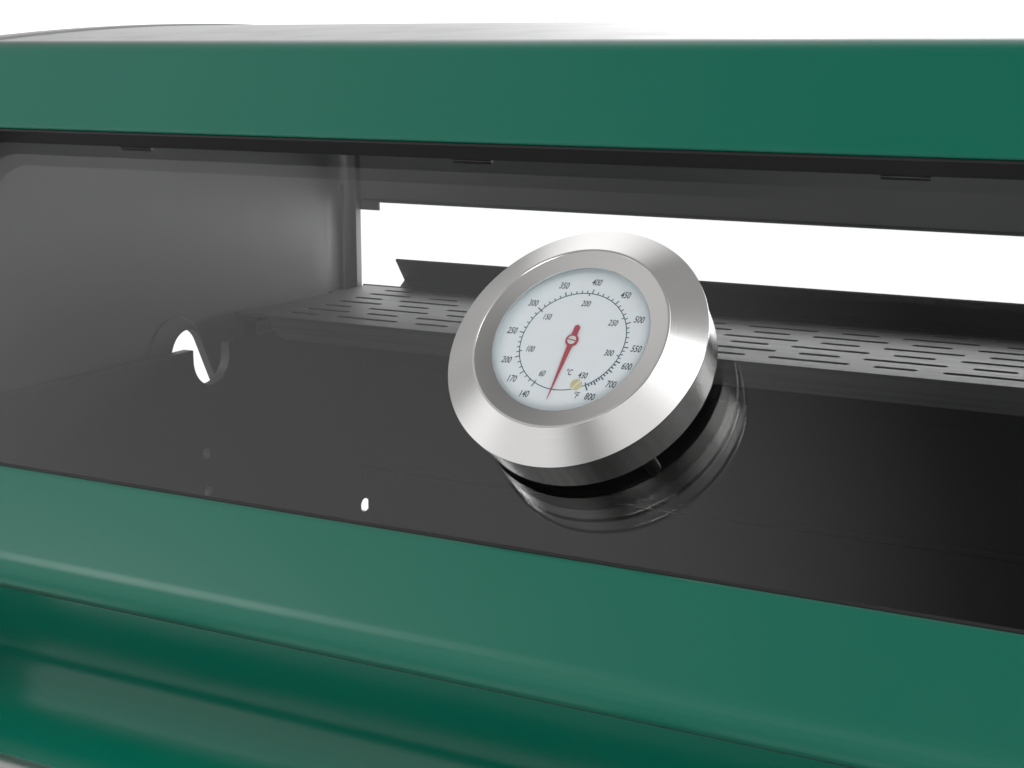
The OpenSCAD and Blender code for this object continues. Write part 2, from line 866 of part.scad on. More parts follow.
module rear_deflector() {
  y = back_y + joggle + lining_t;
  z = rim_h + back_up;
  path = [[y, z - baffle_leg], [y, z], [y + baffle_back, z + baffle_rise],
    [y + baffle_back - baffle_ahead, z + baffle_rise + baffle_up]];
  color("#343433") across(-baffle_half, baffle_half) polygon(strip(path, -baffle_t));
}

// Warming rack

module slot(x0, x1, w) {
  r = w / 2;
  translate([x0 + r, -r]) square([x1 - x0 - w, w]);
  for (x = [x0 + r, x1 - r]) translate([x, 0]) circle(r, $fn = 16);
}
module warming_rack() {
  z = rim_h + rack_up;
  y0 = back_y - rack_back_gap - rack_d;
  half = in_x - rack_gap;
  limit = in_x - slot_edge;
  color("#9c9c99") {
    translate([0, 0, z]) linear_extrude(rack_t) difference() {
      translate([-half, y0]) square([2 * half, rack_d]);
      for (row = [0:slot_rows - 1], col = [0:slot_cols - 1]) {
        x = slot_pitch * (col - (slot_cols - 1) / 2);
        long = (row + col) % 2 == 1 ? slot_long : slot_short;
        translate([slot_shift, y0 + row_in + row * row_pitch])
          slot(max(x - long / 2, -limit), min(x + long / 2, limit), slot_w);
      }
    }
    lip_half = half - rack_lip_in;
    translate([0, y0 + rack_t, z + rack_t]) rotate([90, 0, 0]) linear_extrude(rack_t) intersection() {
      translate([-lip_half, -rack_lip]) square([2 * lip_half, rack_lip]);
      rounded(2 * lip_half, 2 * rack_lip, rack_lip_r);
    }
  }
}

// Control panel and fascia: one folded sheet with cheeks that lap the castings

fascia_y = front_y - fascia_ahead;
fascia_top = rim_h - fascia_down;
tilt_down = [-sin(panel_tilt), -cos(panel_tilt)];
tilt_out = [-cos(panel_tilt), sin(panel_tilt)];
panel_start = [fascia_y, fascia_top - fascia_h];
function panel_point(along, out) = panel_start + along * tilt_down + out * tilt_out;
panel_arc_c = [fascia_y - panel_r, fascia_top - fascia_h + panel_r * tan(panel_tilt / 2)];
panel_end = panel_point(panel_len, 0);
panel_path = concat([[front_y - lining_t - seat, fascia_top], [fascia_y, fascia_top]],
  arc_points(panel_arc_c, panel_r, 0, -panel_tilt, panel_steps),
  [panel_end, panel_end + [panel_hem, 0]]);
function burner_x(i) = (i - 1) * box_w / 3;

module on_panel(x) {
  p = panel_point(knob_along, 0);
  translate([x, p.x, p.y]) rotate([90 - panel_tilt, 0, 0]) children();
}
module control_panel() {
  middle = shifted(panel_path, panel_t / 2);
  n = len(middle);
  color("#1d5a49") difference() {
    union() {
      across(-panel_out, panel_out) polygon(strip(panel_path, panel_t));
      both_sides() across(panel_out - cheek_t, panel_out - running)
        polygon(concat([for (i = [1:n - 2]) middle[i]],
          [[front_y + cheek_lap, middle[n - 2].y], [front_y + cheek_lap, fascia_top - fascia_h / 2],
           [front_y - seat, middle[1].y]]));
    }
    for (i = [0:2]) on_panel(burner_x(i)) translate([0, 0, -over - 2 * panel_t])
      cylinder(r = stem_r + 2 * seat, h = 2 * over + 4 * panel_t);
    on_panel(igniter_x) translate([0, 0, -over - 2 * panel_t])
      cylinder(d = button_d + 2 * bezel_wall + 2 * seat, h = 2 * over + 4 * panel_t);
  }
}

// Cooking grate: tapered bars on a frame, with a rib across the middle

module grate(i) {
  w = (box_w - (grates + 1) * grate_gap) / grates;
  x0 = -in_x + grate_gap + i * (w + grate_gap);
  y0 = front_y + seat;
  y1 = back_y - seat - bead_out;
  top = rim_h - grate_down;
  pitch = (w - bar_w) / (bar_count - 1);
  color("#242424") {
    for (k = [0:bar_count - 1]) translate([x0 + bar_w / 2 + k * pitch, y1, top - grate_h])
      rotate([90, 0, 0]) linear_extrude(y1 - y0)
        polygon([[-bar_w / 2, 0], [bar_w / 2, 0], [bar_w * bar_top_share / 2, grate_h],
          [-bar_w * bar_top_share / 2, grate_h]]);
    for (y = [y0, (y0 + y1 - rib_w) / 2, y1 - rib_w])
      block([x0, y, top - grate_h], [x0 + w, y + rib_w, top - grate_h / 3]);
  }
}
module grate_left() {
  grate(0);
}
module grate_middle() {
  grate(1);
}
module grate_right() {
  grate(2);
}

module heat_tents() {
  color("#6f706e") for (i = [0:2]) translate([burner_x(i), back_y - tent_gap, 0]) rotate([90, 0, 0])
    linear_extrude(box_d - 2 * tent_gap)
      polygon(strip([[-tent_w / 2, tent_z], [0, tent_z + tent_h], [tent_w / 2, tent_z]], -tent_t));
}

// Burner tube: bell mouth, narrow throat, closed end, and ports along both sides of its top
module burner(i) {
  y0 = front_y - lining_t - bell_len;
  y1 = back_y - burner_back_gap;
  r = burner_d / 2;
  ports_len = y1 - y0 - throat_len - 2 * port_in;
  color("#8a8b88") translate([burner_x(i), 0, burner_z]) difference() {
    union() {
      translate([0, y0, 0]) rotate([-90, 0, 0]) rotate_extrude() polygon([
        [bell_d / 2 - burner_bore_wall, 0], [bell_d / 2, 0], [throat_d / 2, bell_len],
        [throat_d / 2, throat_len], [r, throat_len + bell_len], [r, y1 - y0], [0, y1 - y0],
        [0, y1 - y0 - burner_bore_wall], [r - burner_bore_wall, y1 - y0 - burner_bore_wall],
        [r - burner_bore_wall, throat_len + bell_len], [throat_d / 2 - burner_bore_wall, throat_len],
        [throat_d / 2 - burner_bore_wall, bell_len]]);
      translate([0, y1, 0]) rotate([-90, 0, 0]) cylinder(d = peg_d, h = burner_back_gap - seat);
    }
    for (k = [0:port_count - 1], side = [-1, 1])
      translate([0, y0 + throat_len + bell_len + port_in / 2 + k * ports_len / (port_count - 1), 0])
        rotate([0, side * port_tilt, 0]) cylinder(d = port_d, h = burner_d);
  }
}
module burner_left() {
  burner(0);
}
module burner_middle() {
  burner(1);
}
module burner_right() {
  burner(2);
}

// Gas manifold with its inlet fitting, valves, knobs

manifold_y = front_y - manifold_ahead;
manifold_z = rim_h - manifold_down;
module manifold() {
  end = in_x - 2 * wall;
  color("#8f908e") difference() {
    union() {
      translate([0, manifold_y, manifold_z]) rotate([0, 90, 0]) {
        translate([0, 0, -end]) cylinder(d = manifold_d, h = 2 * end - inlet_len);
        translate([0, 0, end - inlet_len]) cylinder(d = inlet_hex, h = inlet_len / 2, $fn = 6);
        translate([0, 0, end - inlet_len / 2]) cylinder(d = inlet_d, h = inlet_len / 2);
      }
      for (x = [-igniter_x, igniter_x]) block([x - bracket_t / 2, manifold_y, manifold_z],
        [x + bracket_t / 2, front_y - lining_t, manifold_z + bracket_up]);
    }
    translate([wall - end, manifold_y, manifold_z]) rotate([0, 90, 0])
      cylinder(d = manifold_bore, h = 2 * end);
  }
}
module valves() {
  color("#b08d3c") for (i = [0:2]) {
    on_panel(burner_x(i)) translate([0, 0, -valve_back]) {
      cylinder(d = valve_d, h = valve_len);
      cylinder(r = stem_r, h = valve_back + ring_t + knob_bore_deep);
    }
    translate([burner_x(i), 0, 0]) {
      block([-block_w / 2, manifold_y - block_w / 2, manifold_z + manifold_d / 2],
        [block_w / 2, manifold_y + block_w / 2, burner_z + block_w / 2]);
      translate([0, manifold_y, burner_z]) rotate([-90, 0, 0])
        cylinder(d = nozzle_d, h = manifold_ahead - lining_t - seat);
    }
  }
}
module knob_bezels() {
  color("#c0c1bf") for (i = [0:2]) on_panel(burner_x(i)) rotate_extrude($fn = 64)
    polygon([[knob_d / 2 - knob_skirt, 0], [ring_d / 2, 0], [ring_d / 2 - ring_t / 2, ring_t],
      [knob_d / 2 - knob_skirt, ring_t]]);
}
module knob(i) {
  r = knob_d / 2;
  color("#2a2a2a") on_panel(burner_x(i)) translate([0, 0, ring_t + ring_gap]) difference() {
    union() {
      rotate_extrude($fn = 64) polygon([[0, 0], [r, 0], [r, knob_skirt],
        [r - bezel_wall, knob_skirt + bezel_wall], [r - 2 * bezel_wall, knob_h / 2], [0, knob_h / 2]]);
      intersection() {
        translate([-grip_w / 2, -r, 0]) cube([grip_w, knob_d, knob_h]);
        cylinder(r1 = r, r2 = r - 2 * bezel_wall, h = knob_h, $fn = 64);
      }
    }
    translate([0, 0, -over]) cylinder(r = stem_r + running, h = knob_bore_deep + over + running);
  }
}
module knob_left() {
  knob(0);
}
module knob_middle() {
  knob(1);
}
module knob_right() {
  knob(2);
}

// Igniter: a collar on the panel with a sleeve, the button that slides in it, and the electrodes

module igniter_bezel() {
  color("#b9bab8") on_panel(igniter_x) difference() {
    union() {
      cylinder(d = collar_d, h = collar_t);
      translate([0, 0, -sleeve_len]) cylinder(d = button_d + 2 * bezel_wall, h = sleeve_len);
    }
    translate([0, 0, bezel_wall - sleeve_len]) cylinder(d = button_d + 4 * running, h = 2 * sleeve_len);
  }
}
module igniter_button() {
  color("#b5303f") on_panel(igniter_x) translate([0, 0, collar_t + button_h / 2 - button_h - button_travel])
    cylinder(d = button_d, h = button_h + button_travel);
}
module spark_electrodes() {
  color("#e6e2d6") for (i = [0:2]) translate([burner_x(i) + burner_d, front_y, burner_z])
    rotate([-90, 0, 0]) {
      cylinder(d = 2 * electrode_d, h = electrode_len / 2);
      cylinder(d = electrode_d / 2, h = electrode_len);
    }
}

// Grease tray and cup

tray_z = bottom_z - rail_h + rail_t;
module grease_tray() {
  x = in_x - tray_gap;
  y0 = front_y + corner_cut_y - tray_front;
  y1 = back_y - corner_cut_y + tray_back;
  mid = (y0 + y1) / 2;
  low = tray_z - hanger_h;
  hanger_out = cup_d / 2 + seat + tray_wall;
  color("#7d7e7c") {
    difference() {
      block([-x, y0, tray_z], [x, y1, tray_z + tray_h]);
      block([tray_wall - x, y0 + tray_wall, tray_z + tray_wall],
        [x - tray_wall, y1 - tray_wall, tray_z + tray_h + over]);
      translate([0, mid, tray_z - over]) cylinder(d = drip_d, h = tray_wall + 2 * over);
    }
    both_sides() {
      block([hanger_out - tray_wall, mid - cup_d / 2, low], [hanger_out, mid + cup_d / 2, tray_z]);
      block([(cup_d - hanger_w) / 2, mid - cup_d / 2, low - tray_wall],
        [hanger_out, mid + cup_d / 2, low]);
    }
  }
}
module grease_cup() {
  mid = (front_y + back_y + tray_back - tray_front) / 2;
  low = tray_z - hanger_h;
  r = cup_d / 2;
  top_r = r - hanger_w / 2 - seat;
  low_r = r - 2 * cup_rim;
  color("#b9bab8") translate([0, mid, low]) rotate_extrude($fn = 64) polygon([
    [0, -cup_h], [low_r, -cup_h], [top_r, -tray_wall - seat], [top_r, 0], [r, 0], [r, cup_wall],
    [top_r - cup_wall, cup_wall], [low_r - cup_wall, cup_wall - cup_h], [0, cup_wall - cup_h]]);
}

// Side shelf: a folded pan on two arms that bolt to the casting

module shelf() {
  top = rim_h - shelf_down;
  x0 = out_x + shelf_gap;
  x1 = x0 + shelf_w;
  y0 = front_y - shelf_front + fascia_ahead / 2;
  translate([(x0 + x1) / 2, y0 + shelf_d / 2, top - shelf_t]) difference() {
    linear_extrude(shelf_t) rounded(shelf_w, shelf_d, shelf_corner_r);
    translate([0, 0, -over]) linear_extrude(shelf_t - shelf_skin + over)
      rounded(shelf_w - 2 * shelf_skin, shelf_d - 2 * shelf_skin, shelf_corner_r - shelf_skin);
  }
  for (y = [front_y + arm_in, y0 + shelf_d - arm_in])
    difference() {
      block([out_x, y - arm_w / 2, top - shelf_skin - arm_h],
        [x1 - shelf_skin, y + arm_w / 2, top - shelf_skin]);
      block([out_x + shelf_gap / 2, y + skin - arm_w / 2, top - shelf_skin - arm_h - over],
        [x1 - 2 * shelf_skin, y - skin + arm_w / 2, top - shelf_skin - skin]);
    }
}
module shelf_left() {
  color("#8b8c8a") mirror([1, 0, 0]) shelf();
}
module shelf_right() {
  color("#8b8c8a") shelf();
}

// Cabinet

cab_front = front_y - side_front + fascia_ahead / 2;
cab_back = back_y;
cab_out = out_x + side_t;
cab_top = rim_h - side_top;
module cabinet_side() {
  low = floor_h + skin;
  difference() {
    block([out_x, cab_front, low], [cab_out, cab_back, cab_top]);
    block([out_x - over, cab_front + skin, low + skin], [cab_out - skin, cab_back - skin, cab_top - skin]);
  }
}
module cabinet_left() {
  color("#474746") mirror([1, 0, 0]) cabinet_side();
}
module cabinet_right() {
  color("#474746") cabinet_side();
}
module cabinet_back() {
  color("#474746") {
    block([-out_x, cab_back - skin, floor_h + skin], [out_x, cab_back, back_top]);
    block([-out_x, cab_back - flange, back_top - skin], [out_x, cab_back, back_top]);
  }
}
module cabinet_floor() {
  fork_in = wheel_end_in + wheel_w + fork_gap;
  color("#474746") {
    block([-cab_out, cab_front, floor_h], [cab_out, cab_back, floor_h + skin]);
    block([-out_x, cab_front, floor_h], [out_x, cab_front + skin, floor_h + toe_gap]);
    both_sides() block([cab_out - door_pin_in - lug_in, cab_front - lug_out, floor_h],
      [cab_out, cab_front, floor_h + lug_t]);
    difference() {
      for (y = [front_y + fork_in, back_y - fork_in - fork_t])
        block([wheel_x - fork_w / 2, y, wheel_z - axle_d], [wheel_x + fork_w / 2, y + fork_t, floor_h]);
      translate([wheel_x, front_y, wheel_z]) rotate([-90, 0, 0])
        cylinder(d = axle_d + 2 * running, h = box_d);
    }
  }
}
module front_rail() {
  low = cab_top - rail_high;
  color("#474746") {
    difference() {
      block([-out_x, cab_front, low], [out_x, cab_front + rail_deep, cab_top]);
      block([-out_x - over, cab_front + skin, low + skin],
        [out_x + over, cab_front + rail_deep + over, cab_top - skin]);
    }
    both_sides() block([cab_out - door_pin_in - lug_in, cab_front - lug_out, cab_top - skin - lug_t],
      [cab_out, cab_front, cab_top - skin]);
  }
}

// Doors: a pan with returned edges, pivoted top and bottom

door_low = floor_h + toe_gap;
door_high = cab_top - door_top_gap;
door_front = cab_front - door_gap - door_t;
pin_y = cab_front - door_gap - door_t / 2;
module door() {
  x1 = cab_out - door_gap / 3;
  difference() {
    block([door_gap / 2, door_front, door_low], [x1, door_front + door_t, door_high]);
    block([door_gap / 2 + skin, door_front + skin, door_low + skin],
      [x1 - skin, door_front + door_t + over, door_high - skin]);
    translate([cab_out - door_pin_in, pin_y, door_low - over])
      cylinder(d = door_pin_d + 2 * running, h = door_high - door_low + 2 * over);
  }
}
module door_left() {
  color("#1d5a49") mirror([1, 0, 0]) door();
}
module door_right() {
  color("#1d5a49") door();
}
module door_handle() {
  x = bar_in;
  y = door_front - bar_out;
  z1 = door_high - bar_top_in;
  translate([x, y, z1 - bar_len]) cylinder(d = bar_d, h = bar_len);
  for (z = [z1 - bar_in, z1 - bar_len + bar_in]) translate([x, y, z]) rotate([-90, 0, 0])
    cylinder(d = bar_post_d, h = bar_out);
}
module door_handle_left() {
  color("#b9bab8") mirror([1, 0, 0]) door_handle();
}
module door_handle_right() {
  color("#b9bab8") door_handle();
}
module door_pins() {
  high = cab_top - skin - lug_t;
  low = floor_h + lug_t;
  color("#8d8e8c") both_sides() translate([cab_out - door_pin_in, pin_y, 0]) {
    translate([0, 0, low]) cylinder(d = door_pin_d, h = door_low + 2 * skin - low);
    translate([0, 0, low]) cylinder(d = 2 * door_pin_d, h = door_low - seat - low);
    translate([0, 0, door_high - 2 * skin]) cylinder(d = door_pin_d, h = high - door_high + 2 * skin);
  }
}

// Wheels, axle and feet

wheel_z = wheel_d / 2;
module wheel(y) {
  r = wheel_d / 2;
  tread = r - tread_r / 2;
  disc_r = r - 2 * tread_r;
  bore_r = axle_d / 2 + running;
  color("#262626") translate([wheel_x, y, wheel_z]) rotate([-90, 0, 0]) rotate_extrude($fn = 64) polygon([
    [bore_r, -hub_over], [hub_d / 2, -hub_over], [hub_d / 2, wheel_w / 3], [disc_r, wheel_w / 3],
    [disc_r, 0], [tread, 0], [r, tread_r], [r, wheel_w - tread_r], [tread, wheel_w], [disc_r, wheel_w],
    [disc_r, 2 * wheel_w / 3], [hub_d / 2, 2 * wheel_w / 3], [hub_d / 2, wheel_w + hub_over],
    [bore_r, wheel_w + hub_over]]);
}
module wheel_front() {
  wheel(front_y + wheel_end_in);
}
module wheel_rear() {
  wheel(back_y - wheel_end_in - wheel_w);
}
module wheel_axle() {
  y0 = front_y + wheel_end_in - hub_over - seat;
  y1 = back_y - wheel_end_in + hub_over + seat;
  color("#9b9c9a") translate([wheel_x, 0, wheel_z]) rotate([-90, 0, 0]) {
    translate([0, 0, y0]) cylinder(d = axle_d, h = y1 - y0);
    for (end = [y0 - hub_over, y1]) translate([0, 0, end]) cylinder(d = 2 * axle_d, h = hub_over);
  }
}
module leveling_feet() {
  color("#1f1f1f") for (y = [front_y + wheel_end_in, back_y - wheel_end_in]) translate([-foot_x, y, 0])
    rotate_extrude() polygon([[0, 0], [foot_pad_d / 2, 0], [foot_pad_d / 2, foot_pad_h / 2],
      [foot_stem_d, foot_pad_h], [foot_stem_d / 2, foot_pad_h + foot_neck], [foot_stem_d / 2, floor_h],
      [0, floor_h]]);
}

hood_shell();
hood_side_left();
hood_side_right();
hood_rear_panel();
window_frame();
window_glass();
window_gasket();
window_clips();
hood_handle();
handle_posts();
hood_screws();
thermometer_bezel();
thermometer_gasket();
thermometer_dial();
thermometer_lens();
thermometer_stem();
thermometer_nut();
thermometer_needle();
hood_hinge_pins();
firebox_left();
firebox_right();
firebox_front();
firebox_back();
rear_deflector();
warming_rack();
control_panel();
grate_left();
grate_middle();
grate_right();
heat_tents();
burner_left();
burner_middle();
burner_right();
manifold();
valves();
knob_left();
knob_middle();
knob_right();
knob_bezels();
igniter_button();
igniter_bezel();
spark_electrodes();
grease_tray();
grease_cup();
shelf_left();
shelf_right();
cabinet_left();
cabinet_right();
cabinet_back();
cabinet_floor();
front_rail();
door_left();
door_right();
door_handle_left();
door_handle_right();
door_pins();
wheel_front();
wheel_rear();
wheel_axle();
leveling_feet();
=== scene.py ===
"""Finishes and fine detail of a cabinet gas grill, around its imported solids.

Lengths are metres. The grill stands on z = 0 and its front faces -Y. The thermometer's print, step
and screws are placed from the needle's own joint, the rolled edges of the slots from the warming
rack's own box, and the knobs' marks from each knob's joint.
"""

import json
import math

import bmesh
import bpy
import numpy as np
from mathutils import Matrix, Vector


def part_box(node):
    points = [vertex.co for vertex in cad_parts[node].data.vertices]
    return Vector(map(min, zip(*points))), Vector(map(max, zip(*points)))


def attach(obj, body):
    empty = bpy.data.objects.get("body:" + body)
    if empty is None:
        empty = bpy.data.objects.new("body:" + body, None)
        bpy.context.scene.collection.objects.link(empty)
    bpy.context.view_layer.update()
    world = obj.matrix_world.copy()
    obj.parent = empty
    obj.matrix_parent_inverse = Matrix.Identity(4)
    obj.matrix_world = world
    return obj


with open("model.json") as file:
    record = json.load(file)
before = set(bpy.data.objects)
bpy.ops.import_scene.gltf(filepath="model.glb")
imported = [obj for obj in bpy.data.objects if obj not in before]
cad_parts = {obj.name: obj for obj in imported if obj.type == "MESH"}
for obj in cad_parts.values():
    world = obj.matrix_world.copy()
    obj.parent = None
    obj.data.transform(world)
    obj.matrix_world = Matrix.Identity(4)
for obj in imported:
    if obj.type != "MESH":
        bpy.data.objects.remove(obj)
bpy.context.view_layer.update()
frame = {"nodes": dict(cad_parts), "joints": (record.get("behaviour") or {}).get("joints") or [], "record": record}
NODES = frame["nodes"]
JOINTS = {joint["name"]: joint for joint in frame["joints"]}
BODIES = frame["record"]["behaviour"]["bodies"]
BODY_OF = {node: body for body, nodes in BODIES.items() for node in nodes}
SLOT_OF = {part["node"]: part["material_slot"] for part in frame["record"]["subparts"]}

# Axis of the thermometer: the needle's joint lies on it, 2.7 mm above the bezel's outer rim
NEEDLE_AT = Vector(JOINTS["needle_turn"]["pos_m"])
GAUGE_OUT = -Vector(JOINTS["needle_turn"]["axis"]).normalized()
GAUGE_RIGHT = Vector((1, 0, 0))
GAUGE_UP = GAUGE_OUT.cross(GAUGE_RIGHT)
NEEDLE_OVER_RIM = 0.0027
NEEDLE_OVER_DIAL = 0.0003
NEEDLE_TOP = 0.00035

# Points nearer than this are one point
MERGE = 1e-7

# Print of the dial. Each long mark of the outer scale: its place clockwise from the top in degrees,
# and the parts up to the next one. Each figure: its place, how far out of the ring of figures
OUTER_SCALE = [(205.8, 3), (225.8, 3), (246.2, 5), (274.7, 5), (304.7, 5), (334.5, 5), (3.5, 5),
               (34.7, 5), (63.9, 5), (91.7, 4), (108.6, 3), (120.0, 3), (130.2, 3), (138.6, 3)]
OUTER_FIGURES = [(140, 205.8, 0.0004), (170, 225.8, 0), (200, 246.2, 0), (250, 274.7, 0), (300, 304.7, 0),
                 (350, 334.5, 0), (400, 3.5, 0), (450, 34.7, 0), (500, 63.9, 0), (550, 91.7, 0),
                 (600, 108.6, 0), (700, 127.7, 0.0004), (800, 146.8, 0.0003)]
INNER_SCALE = [(60, 206.4), (100, 252.3), (150, 304.7), (200, 0.6), (250, 56.1), (300, 102.3),
               (430, 147.1)]
SCALE_END = 147.5
BOLD_FROM = 100
BOLD_TO = 160
CIRCLE_R = 0.0174
CIRCLE_W = 0.0003
CIRCLE_STEPS = 160
TICK_W = 0.00032
LONG_TICK_W = 0.00036
BOLD_TICK_W = 0.00044
SHORT_TICK = 0.001
LONG_TICK = 0.0016
END_TICK = 0.0021
INNER_TICK = 0.0009
OUTER_FIGURES_R = 0.0217
INNER_FIGURES_R = 0.0137
OUTER_FIGURE_H = 0.0024
INNER_FIGURE_H = 0.0022
FIGURE_W_SHARE = 0.66
FIGURE_BOLDER = 0.012
FIGURE_SLOPE = 0.22
FAHRENHEIT_AT = (0.0199, 157.5)
CELSIUS_AT = (0.0112, 166)
INK_THICK = 0.00004
INK_SUNK = -0.00001
# Painted shade on the dial: from this radius to that it turns darker and colder, as the bezel's wall shades its
# rim
RIM_SHADE_FROM_R = 0.0215
RIM_SHADE_TO_R = 0.0265

# Screws of the dial: slot and dome as shares of the head's radius and height. Then, for the needle's
# hub and for the scale's screw, radius, height, and the slot's turn in degrees
SLOT_SHARE = 0.14
DOME_SHARE = 0.45
HUB_R, HUB_H, HUB_TURN = 0.00145, 0.0002, 100
HUB_SUNK = 0.00002
SCALE_SCREW_R, SCALE_SCREW_H, SCALE_SCREW_TURN = 0.0019, 0.00022, 35
SCALE_SCREW_AT = (0.0163, 156.9)
SCALE_SCREW_UP = 0.0001

# Bezel: how strongly the lathe's grain draws the light out, and its rings to the metre
BEZEL_GRAIN = 0.5
LATHE_RINGS = 5200.0
# Step of the bezel between its two bevels: radius, width, lowest and highest place over the needle's joint
STEP_R = 0.0317
STEP_W = 0.0007
STEP_LOW = 0.0021
STEP_HIGH = 0.00262

# Warming rack
SLOT_ROWS = 7
SLOT_COLS = 16
SLOT_PITCH = 0.04
SLOT_SHIFT = 0.0067
SLOT_LONG = 0.0385
SLOT_SHORT = 0.02
SLOT_W = 0.0046
SLOT_LIMIT_IN = 0.0151
ROW_IN = 0.0159
ROW_PITCH = 0.01533
EDGE_STATIONS = 16
# Section of a slot's rolled edge: reach past the slot's side, and height over the rack's top
ROLLED_EDGE = [(0.0003, -0.00012), (0.0003, 0.0), (0.00012, 0.00003), (-0.0001, -0.00002),
               (-0.0003, -0.00018), (-0.00045, -0.0005), (-0.0005, -0.001), (-0.0005, -0.0013),
               (-0.0002, -0.0013), (-0.0002, -0.0004)]

# Knobs and their marks
KNOB_R = 0.024
POINTER_W = 0.0018
POINTER_LEN = 0.016
POINTER_IN = 0.0035
POINTER_UP = 0.0003
MARK_R = 0.0375
MARK_WIDE = 0.0045
MARK_THIN = 0.0008
MARK_DOT = 0.0018
MARK_FROM = -90
MARK_TO = -180
MARK_STATIONS = 40
DOT_STATIONS = 24

# Camera of the photograph, from the middle of the bezel's rim
CAMERA_FROM_BEZEL = Vector((0.2252, -0.4455, 0.0892))
CAMERA_LOOKS = Vector((-0.4757, 0.8568, -0.1992))
CAMERA_LENS = 58.0
SENSOR_WIDTH = 36.0

# The studio's sky. Each patch: degrees round from straight ahead of the grill towards its right,
# degrees up, strength, and the half angles of its even middle and of its faded outside
SKY_PATCHES = [(-150, 10, 1.43, 8, 32), (-110, 10, 0.07, 8, 32), (-75, 10, 0.39, 8, 32),
               (-40, 5, 0.8, 16, 40), (0, 8, 0.17, 8, 32), (110, 10, 4.17, 8, 32), (150, 10, 0.83, 8, 32),
               (180, 10, 3.06, 8, 32), (-160, 40, 1.1, 8, 32), (-110, 42, 0.51, 8, 32),
               (-53, 43, 0.61, 2, 26), (22, 40, 0.81, 8, 32), (62, 40, 0.70, 8, 32),
               (110, 40, 3.18, 8, 32), (-120, 72, 0.11, 6, 30), (0, 72, 0.08, 6, 30),
               (120, 72, 0.26, 6, 30), (25, -14, 10.74, 6, 20), (125, -14, 3.61, 6, 20),
               (-50, 34, 6.56, 3, 8), (-46, 27, 0.68, 3, 8),
               (66, 48, 1.8, 8, 17), (38, 60, 6.0, 3, 9)]
WHITE_BEHIND = 1.25

FLOOR_R = 2.6
FLOOR_DOWN = 0.0005
FLOOR_STEPS = 96
FADES_FROM = 1.2
FADES_TO = 2.5


def gauge_matrix():
    """Columns: right on the dial, up the slope, out of the dial; the origin is the needle's joint."""
    turn = Matrix((GAUGE_RIGHT, GAUGE_UP, GAUGE_OUT)).transposed().to_4x4()
    return Matrix.Translation(NEEDLE_AT) @ turn


GAUGE = gauge_matrix()


def make_camera():
    data = bpy.data.cameras.new("photo_camera")
    data.lens = CAMERA_LENS
    data.sensor_width = SENSOR_WIDTH
    data.clip_start = 0.01
    data.clip_end = 60
    camera = bpy.data.objects.new("photo_camera", data)
    bpy.context.scene.collection.objects.link(camera)
    bezel = NEEDLE_AT - NEEDLE_OVER_RIM * GAUGE_OUT
    camera.location = bezel + CAMERA_FROM_BEZEL
    camera.rotation_euler = CAMERA_LOOKS.to_track_quat("-Z", "Y").to_euler()
    bpy.context.scene.camera = camera


# Finishes


